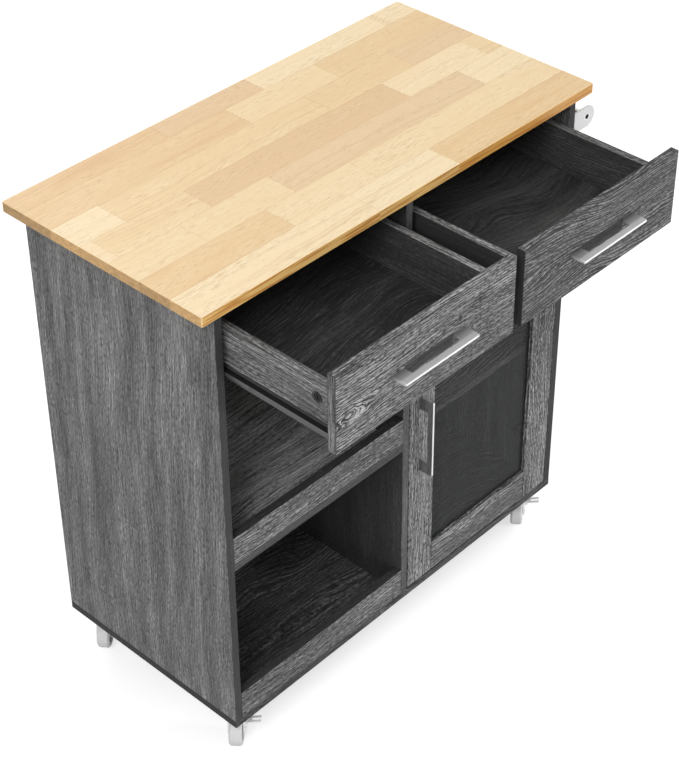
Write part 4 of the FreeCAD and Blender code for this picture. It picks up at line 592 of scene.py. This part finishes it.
# on: the CAD nodes; grit: in mm along X, Y and Z; spread and swing: how far the tone and the roughness vary;
# fade: (start, end, share) of the tone towards the back, a painted reflection on the pulls' legs;
# paintedShadeFaces: (axis, sign, share of the tone) of faces in painted shade
pullLook = {"colour": "#e6e6e6", "spread": 0.08, "roughness": 0.5, "swing": 0.06, "metallic": 0.8,
            "bump": 0.12}
casters = ("front_left", "front_right", "back_left", "back_right")
finishes = {
    # painted shade: the drawer pulls' top and bottom faces are darker than their fronts
    "nickelBrushedAcross": {**pullLook, "on": ["left_drawer_pull", "right_drawer_pull"],
                            "grit": (30, 0.4, 0.4), "paintedShadeFade": legPaintedReflection("left_drawer_pull", 0.35),
                            "paintedShadeFaces": [(2, 1, 0.7), (2, -1, 0.4)]},
    # painted shade: the door pull's two sides are darker than its front, the left one most
    "nickelBrushedUpright": {**pullLook, "on": ["door_pull"], "grit": (0.4, 0.4, 30), "roughness": 0.28,
                             "paintedShadeFade": legPaintedReflection("door_pull", 0.6), "paintedShadeFaces": [(0, -1, 0.5), (0, 1, 0.75)]},
    "steelBrightPlated": {"on": ["towel_bar"], "colour": "#dedede", "spread": 0.04, "grit": (1.5, 6, 1.5),
                          "roughness": 0.24, "swing": 0.05, "metallic": 1.0, "bump": 0.05},
    "steelPowderWhite": {"on": ["towel_ear_front", "towel_ear_rear"], "colour": "#dcdcdc", "spread": 0.03,
                         "grit": (0.7, 0.7, 0.7), "roughness": 0.42, "swing": 0.05, "bump": 0.15},
    # painted highlight and shade: the runners' sides keep a grey tone while their top and bottom faces are
    # darkened towards black
    "steelBlackLacquer": {"on": ["left_drawer_runners", "right_drawer_runners", "cabinet_runners"],
                          "colour": "#424242", "spread": 0.1, "grit": (0.8, 3, 0.8), "roughness": 0.4,
                          "swing": 0.06, "bump": 0.1, "paintedShadeFaces": [(2, 1, 0.08), (2, -1, 0.3)]},
    "nylonMoulded": {"on": ["left_drawer_rollers", "right_drawer_rollers", "left_cabinet_rollers",
                            "right_cabinet_rollers"], "colour": "#d8d8d2", "spread": 0.04,
                     "grit": (1.2, 1.2, 1.2), "roughness": 0.45, "swing": 0.05, "bump": 0.05},
    "steelZincPlated": {"on": ["caster_plates", "wood_screws", "door_fasteners", "shelf_pins",
                               "left_drawer_fasteners", "right_drawer_fasteners"],
                        "colour": "#d2d3d4", "spread": 0.1, "grit": (2.5, 2.5, 2.5), "roughness": 0.36,
                        "swing": 0.08, "metallic": 1.0, "bump": 0.06},
    "zincDieCastDark": {"on": [], "colour": "#1c1c1c", "spread": 0.12, "grit": (1.0, 1.0, 1.0),   # the cams
                        "roughness": 0.55, "swing": 0.06, "bump": 0.12, "specular": 0.15},
    "steelPressedNickel": {"on": ["door_hinge_cups", "hinge_plates"], "colour": "#b9b7b2", "spread": 0.06,
                           "grit": (3, 3, 3), "roughness": 0.3, "swing": 0.05, "metallic": 1.0, "bump": 0.04},
    "pvcExtrudedBlack": {"on": ["door_glass_beads"], "colour": "#202020", "spread": 0.08, "grit": (1, 1, 1),
                         "roughness": 0.45, "swing": 0.05, "bump": 0.05},
    "nylonGlassFilledGrey": {"on": ["caster_fork_" + caster for caster in casters], "colour": "#f0f0f0",
                             "spread": 0.05, "grit": (0.8, 0.8, 0.8), "roughness": 0.42, "swing": 0.05,
                             "bump": 0.12},
    "rubberMouldedGrey": {"on": ["caster_wheel_" + caster for caster in casters], "colour": "#d6d6d6",
                          "spread": 0.06, "grit": (1, 1, 1), "roughness": 0.6, "swing": 0.06, "bump": 0.15},
    "absMouldedGrey": {"on": ["brake_lever_front_left", "brake_lever_front_right"], "colour": "#e4e4e4",
                       "spread": 0.04, "grit": (0.6, 0.6, 0.6), "roughness": 0.4, "swing": 0.04, "bump": 0.1},
}
finished = {name: makeFinish(name, look) for name, look in finishes.items()}
for name, look in finishes.items():
    dress(look["on"], finished[name])
print("metals and mouldings dressed:", len(finished), "finishes")


# Smoked float glass: drawn flat and tinted through. It darkens the shelf and the boards behind it.

glassLook = {"tint": "#434444", "roughness": 0.12, "alpha": 0.37, "specular": 0.09, "drawLine": 12 * mm}


def makeGlass(look):
    material, add = newMaterial("glassSmokedFloat")
    place = add("TexCoord")
    # faint upright draw lines
    lines = stretchedNoise(add, place.outputs["Object"], (1 / look["drawLine"], 1.0, 1.2), {"Detail": 2.0})
    tone = add("MapRange", {"From Min": 0.3, "From Max": 0.7, "To Min": 0.85, "To Max": 1.15},
               {"Value": lines})
    tint = add("VectorMath", {"operation": "SCALE", 0: hexColor(look["tint"])[:3]}, {"Scale": tone})
    shader = add("BsdfPrincipled", {"Roughness": look["roughness"], "Alpha": look["alpha"],
                                    "Specular IOR Level": look["specular"]}, {"Base Color": tint})
    add("OutputMaterial", {}, {0: shader})
    return material


dress(["door_glass"], makeGlass(glassLook))
print("glass dressed")


# Screws and cam locks stand for the plain ones of the CAD: pan heads with a cross recess, and slotted discs.

screwLook = {
    "vertices": 28,
    "headHeight": 0.52,          # lengths as shares of the head's radius
    "shankRadius": 0.5,
    "rimRound": 0.26,
    "recessLength": 1.15,
    "recessWidth": 0.27,
    "recessDepth": 0.36,
    "recessTaper": 0.55,
    "pointTaper": 0.2,
    "pointLength": 2.5 * mm,
    "turnStep": 2.399,           # radians from one screw's recess to the next one's
    "finish": finished["steelZincPlated"],
}
camLook = {
    "vertices": 40,
    "radius": 7.5 * mm,
    "flange": 9.4 * mm,          # its cover's rim lies on the board
    "flangeHeight": 0.5 * mm,
    "sunk": 0.4 * mm,            # the cam's face lies this far inside the board
    "rim": 1.1 * mm,
    "rimRound": 0.15 * mm,
    "dish": 0.5 * mm,            # the disc lies this far under its rim
    "slotLength": 9 * mm,
    "slotWidth": 2 * mm,
    "slotDepth": 3 * mm,
    "leastRadius": 6 * mm,       # a wider fastener is a cam, a slimmer one a screw
    "finish": finished["zincDieCastDark"],
}
smoothAngle = math.radians(32)


def startCylinder(name, radius, depth, vertices):   # its top lies at the origin
    bpy.ops.object.select_all(action="DESELECT")
    bpy.ops.mesh.primitive_cylinder_add(vertices=vertices, radius=radius, depth=depth,
                                        location=(0, 0, -depth / 2))
    piece = bpy.context.active_object
    piece.name = name
    bpy.ops.object.transform_apply(location=True, rotation=True, scale=True)
    return piece


def pickFaces(piece, way):   # selects, in edit mode, the faces that look up (1) or down (-1)
    bpy.ops.mesh.select_mode(type="FACE")
    bpy.ops.mesh.select_all(action="DESELECT")
    mesh = bmesh.from_edit_mesh(piece.data)
    for face in mesh.faces:
        face.select_set(face.normal.z * way > 0.95)
    bmesh.update_edit_mesh(piece.data)


def pickTopEdges(piece):   # selects the edges that lie at the top, where z is 0
    bpy.ops.mesh.select_mode(type="EDGE")
    bpy.ops.mesh.select_all(action="DESELECT")
    mesh = bmesh.from_edit_mesh(piece.data)
    for edgeOfMesh in mesh.edges:
        edgeOfMesh.select_set(all(vert.co.z > -0.01 * mm for vert in edgeOfMesh.verts))
    bmesh.update_edit_mesh(piece.data)


def extrudeBy(depth):   # what is selected, straight down
    bpy.ops.mesh.extrude_region_move(TRANSFORM_OT_translate={"value": (0, 0, -depth)})


def startCutter(size):   # a block round the origin, in edit mode with all of it selected
    bpy.ops.object.mode_set(mode="OBJECT")
    bpy.ops.object.select_all(action="DESELECT")
    bpy.ops.mesh.primitive_cube_add(size=1.0, location=(0, 0, 0))
    cutter = bpy.context.active_object
    bpy.ops.object.mode_set(mode="EDIT")
    bpy.ops.transform.resize(value=size, center_override=(0, 0, 0))
    return cutter


def cutOut(piece, cutter):
    bpy.ops.object.mode_set(mode="OBJECT")
    bpy.ops.object.select_all(action="DESELECT")
    piece.select_set(True)
    bpy.context.view_layer.objects.active = piece
    cut = piece.modifiers.new("cut", "BOOLEAN")
    cut.operation = "DIFFERENCE"
    cut.solver = "EXACT"
    cut.use_self = True
    cut.object = cutter
    bpy.ops.object.modifier_apply(modifier="cut")
    bpy.data.objects.remove(cutter)


def modelScrew(radius, length, look):
    headHeight = look["headHeight"] * radius
    screw = startCylinder("screwModel", radius, headHeight, look["vertices"])
    bpy.ops.object.mode_set(mode="EDIT")
    pickFaces(screw, -1)
    bpy.ops.mesh.inset(thickness=radius * (1 - look["shankRadius"]))
    extrudeBy(length - headHeight - look["pointLength"])
    extrudeBy(look["pointLength"])
    bpy.ops.transform.resize(value=(look["pointTaper"], look["pointTaper"], 1.0),
                             center_override=(0, 0, -length))
    pickTopEdges(screw)
    bpy.ops.mesh.bevel(offset=look["rimRound"] * radius, segments=4)

    # the recess is cut by two crossed wedges
    cross = startCutter((look["recessLength"] * radius, look["recessWidth"] * radius,
                         2 * look["recessDepth"] * radius))
    pickFaces(cross, -1)
    bpy.ops.transform.resize(value=(look["recessTaper"], look["recessTaper"], 1.0),
                             center_override=(0, 0, 0))
    bpy.ops.mesh.select_all(action="SELECT")
    bpy.ops.mesh.duplicate()
    bpy.ops.transform.rotate(value=math.pi / 2, orient_axis="Z", center_override=(0, 0, 0))
    cutOut(screw, cross)
    bpy.ops.object.shade_smooth_by_angle(angle=smoothAngle)
    screw.data.materials.append(look["finish"])
    return screw


def modelCam(length, look):
    cam = startCylinder("camModel", look["flange"], look["flangeHeight"], look["vertices"])
    bpy.ops.object.mode_set(mode="EDIT")
    pickFaces(cam, -1)
    bpy.ops.mesh.inset(thickness=look["flange"] - look["radius"])
    extrudeBy(length + look["sunk"])
    pickTopEdges(cam)
    bpy.ops.mesh.bevel(offset=look["rimRound"], segments=2)
    pickFaces(cam, 1)
    bpy.ops.mesh.inset(thickness=look["rim"] - look["rimRound"])
    extrudeBy(look["dish"])
    slot = startCutter((look["slotLength"], look["slotWidth"], 2 * look["slotDepth"]))
    cutOut(cam, slot)
    bpy.ops.object.mode_set(mode="EDIT")
    bpy.ops.mesh.select_all(action="SELECT")
    bpy.ops.transform.translate(value=(0, 0, look["flangeHeight"] + look["sunk"]))
    bpy.ops.object.mode_set(mode="OBJECT")
    bpy.ops.object.shade_smooth_by_angle(angle=smoothAngle)
    cam.data.materials.append(look["finish"])
    return cam


def solidsOf(node):   # the corners of each solid of a CAD node
    solid = bmesh.new()
    solid.from_mesh(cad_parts[node].data)
    bmesh.ops.remove_doubles(solid, verts=solid.verts, dist=0.005 * mm)
    solids, seen = [], set()
    for start in solid.verts:
        if start in seen:
            continue
        island, ahead = [], [start]
        seen.add(start)
        while ahead:
            vert = ahead.pop()
            island.append(vert.co.copy())
            for edgeOfMesh in vert.link_edges:
                other = edgeOfMesh.other_vert(vert)
                if other not in seen:
                    seen.add(other)
                    ahead.append(other)
        solids.append(island)
    solid.free()
    return solids


def fastenerPlaces(node):   # each fastener's outer end, its way out, its radius and its length
    found = []
    for island in solidsOf(node):
        low = Vector([min(co[axis] for co in island) for axis in range(3)])
        high = Vector([max(co[axis] for co in island) for axis in range(3)])
        span = high - low
        axis = min(range(3), key=lambda i: abs(span[i - 1] - span[i - 2]))   # its two other spans are alike
        centre = (low + high) / 2
        # the head is at the end with more corners
        towardsHead = sum(co[axis] for co in island) / len(island) > centre[axis]
        outward = Vector((0, 0, 0))
        outward[axis] = 1 if towardsHead else -1
        end = centre.copy()
        end[axis] = high[axis] if towardsHead else low[axis]
        found.append((end, outward, max(span[axis - 1], span[axis - 2]) / 2, span[axis]))
    return sorted(found, key=lambda one: (round(one[0].z, 4), round(one[0].x, 4), round(one[0].y, 4)))


def placeFasteners(name, places, body):
    models, copies = {}, []
    for index, (end, outward, radius, length) in enumerate(places):
        kind = (round(radius, 5), round(length, 5))
        if kind not in models:
            isCam = radius > camLook["leastRadius"]
            models[kind] = modelCam(length, camLook) if isCam else modelScrew(radius, length, screwLook)
        copy = models[kind].copy()
        copy.data = models[kind].data.copy()
        bpy.context.scene.collection.objects.link(copy)
        turn = Matrix.Rotation(index * screwLook["turnStep"], 4, "Z")
        tilt = outward.to_track_quat("Z", "Y").to_matrix().to_4x4()
        copy.data.transform(Matrix.Translation(end) @ tilt @ turn)
        copies.append(copy)
    for model in models.values():
        bpy.data.objects.remove(model)
    bpy.ops.object.select_all(action="DESELECT")
    for copy in copies:
        copy.select_set(True)
    bpy.context.view_layer.objects.active = copies[0]
    bpy.ops.object.join()
    copies[0].name = name
    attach(copies[0], body)
    print(name, "modelled:", len(copies), "pieces")
    return copies[0]


carcassScrews = placeFasteners("carcassScrews", fastenerPlaces("wood_screws"), "carcass")
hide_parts("wood_screws")
doorScrews = placeFasteners("doorScrews", fastenerPlaces("door_fasteners"), "door")
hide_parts("door_fasteners")
for side in ("left", "right"):
    node = side + "_drawer_fasteners"
    drawerScrews = placeFasteners(side + "DrawerScrewsAndCams", fastenerPlaces(node), side + "_drawer")
    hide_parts(node)

# the two adjusting screws of each hinge arm, sunk in its recesses
adjusterLook = {"radius": 2.9 * mm, "length": 6 * mm, "sunk": 0.5 * mm, "first": 20 * mm, "spacing": 24 * mm}
adjusterPlaces = []
for corners in solidsOf("hinge_plates"):
    armFace = min(co.x for co in corners)
    armFront = min(co.y for co in corners)
    height = (min(co.z for co in corners) + max(co.z for co in corners)) / 2
    for count in range(2):
        back = armFront + adjusterLook["first"] + count * adjusterLook["spacing"]
        adjusterPlaces.append((Vector((armFace + adjusterLook["sunk"], back, height)), Vector((-1, 0, 0)),
                               adjusterLook["radius"], adjusterLook["length"]))
placeFasteners("hingeAdjusters", adjusterPlaces, "carcass")


# Floor, light and camera

white = (1.0, 1.0, 1.0, 1.0)
floorLook = {"size": 30, "paper": (0.6, 0.6, 0.6, 1.0), "lift": 0.6}   # the lift is seen, but lights nothing
airLook = {"light": 0.52, "seen": 1.0}


def seenShare(add):   # 1 for what the camera sees, also in gloss or through glass
    path = add("LightPath").outputs
    seen = add("Math", {"operation": "MAXIMUM"}, {0: path["Is Camera Ray"], 1: path["Is Glossy Ray"]})
    return add("Math", {"operation": "MAXIMUM"}, {0: seen, 1: path["Is Transmission Ray"]})


def makeFloor(look):
    bpy.ops.mesh.primitive_plane_add(size=look["size"], location=(0, 0, 0))
    floor = bpy.context.active_object
    floor.name = "studioFloor"
    material, add = newMaterial("paperSeamlessWhite")
    paper = add("BsdfDiffuse", {"Color": look["paper"]})
    strength = add("Math", {"operation": "MULTIPLY", 1: look["lift"]}, {0: seenShare(add)})
    lift = add("Emission", {"Color": white}, {"Strength": strength})
    both = add("AddShader", {}, {0: paper, 1: lift})
    add("OutputMaterial", {}, {0: both})
    floor.data.materials.append(material)


def makeWorld(look):
    world = bpy.data.worlds.new("studioAir")
    world.use_nodes = True
    bpy.context.scene.world = world
    world.node_tree.nodes.clear()
    add = nodeAdder(world.node_tree)
    strength = add("MapRange", {"To Min": look["light"], "To Max": look["seen"]}, {"Value": seenShare(add)})
    sky = add("Background", {"Color": white}, {"Strength": strength})
    add("OutputWorld", {}, {0: sky})


lamps = {
    "keyAboveLeft": {"place": (-3.3, -1.4, 3.6), "aim": (0, 0.05, 0.5), "size": 2.2, "power": 92},
    "lowFrontRight": {"place": (1.9, -3.4, 1.35), "aim": (0, -0.2, 0.7), "size": 0.8, "power": 46},
    "fillRight": {"place": (3.4, -0.8, 2.2), "aim": (0, 0, 0.5), "size": 2.4, "power": 24},
    "rimBehind": {"place": (0.8, 3.4, 2.8), "aim": (0, 0.1, 0.6), "size": 2.4, "power": 42},
    "lowFrontLeft": {"place": (-2.6, -2.4, 0.35), "aim": (0, 0, 0.1), "size": 1.2, "power": 14},
}


def makeLamps(looks):
    for name, lamp in looks.items():
        bpy.ops.object.light_add(type="AREA", location=lamp["place"])
        light = bpy.context.active_object
        light.name = name
        light.data.shape = "DISK"
        light.data.size = lamp["size"]
        light.data.energy = lamp["power"]
        towards = Vector(lamp["aim"]) - Vector(lamp["place"])
        light.rotation_euler = towards.to_track_quat("-Z", "Y").to_euler()


cameraLook = {
    "place": (-1.9058, -1.7416, 2.5459),
    "down": 35.583,        # degrees below the horizon
    "heading": 47.356,     # degrees from +Y towards +X
    "lens": 91.99,
    "sensor": 36,
    "shiftX": -0.0336,     # the photo is an off-centre crop
    "shiftY": -0.1153,
    "clip": (0.1, 60),
}


def makeCamera(look):
    bpy.ops.object.camera_add(location=look["place"])
    camera = bpy.context.active_object
    camera.name = "photoCamera"
    camera.rotation_euler = (math.radians(90 - look["down"]), 0, math.radians(-look["heading"]))
    camera.data.lens = look["lens"]
    camera.data.sensor_width = look["sensor"]
    camera.data.shift_x = look["shiftX"]
    camera.data.shift_y = look["shiftY"]
    camera.data.clip_start, camera.data.clip_end = look["clip"]
    bpy.context.scene.camera = camera


makeFloor(floorLook)
makeWorld(airLook)
makeLamps(lamps)
makeCamera(cameraLook)
bpy.context.scene.view_settings.view_transform = "Standard"
print("studio ready")
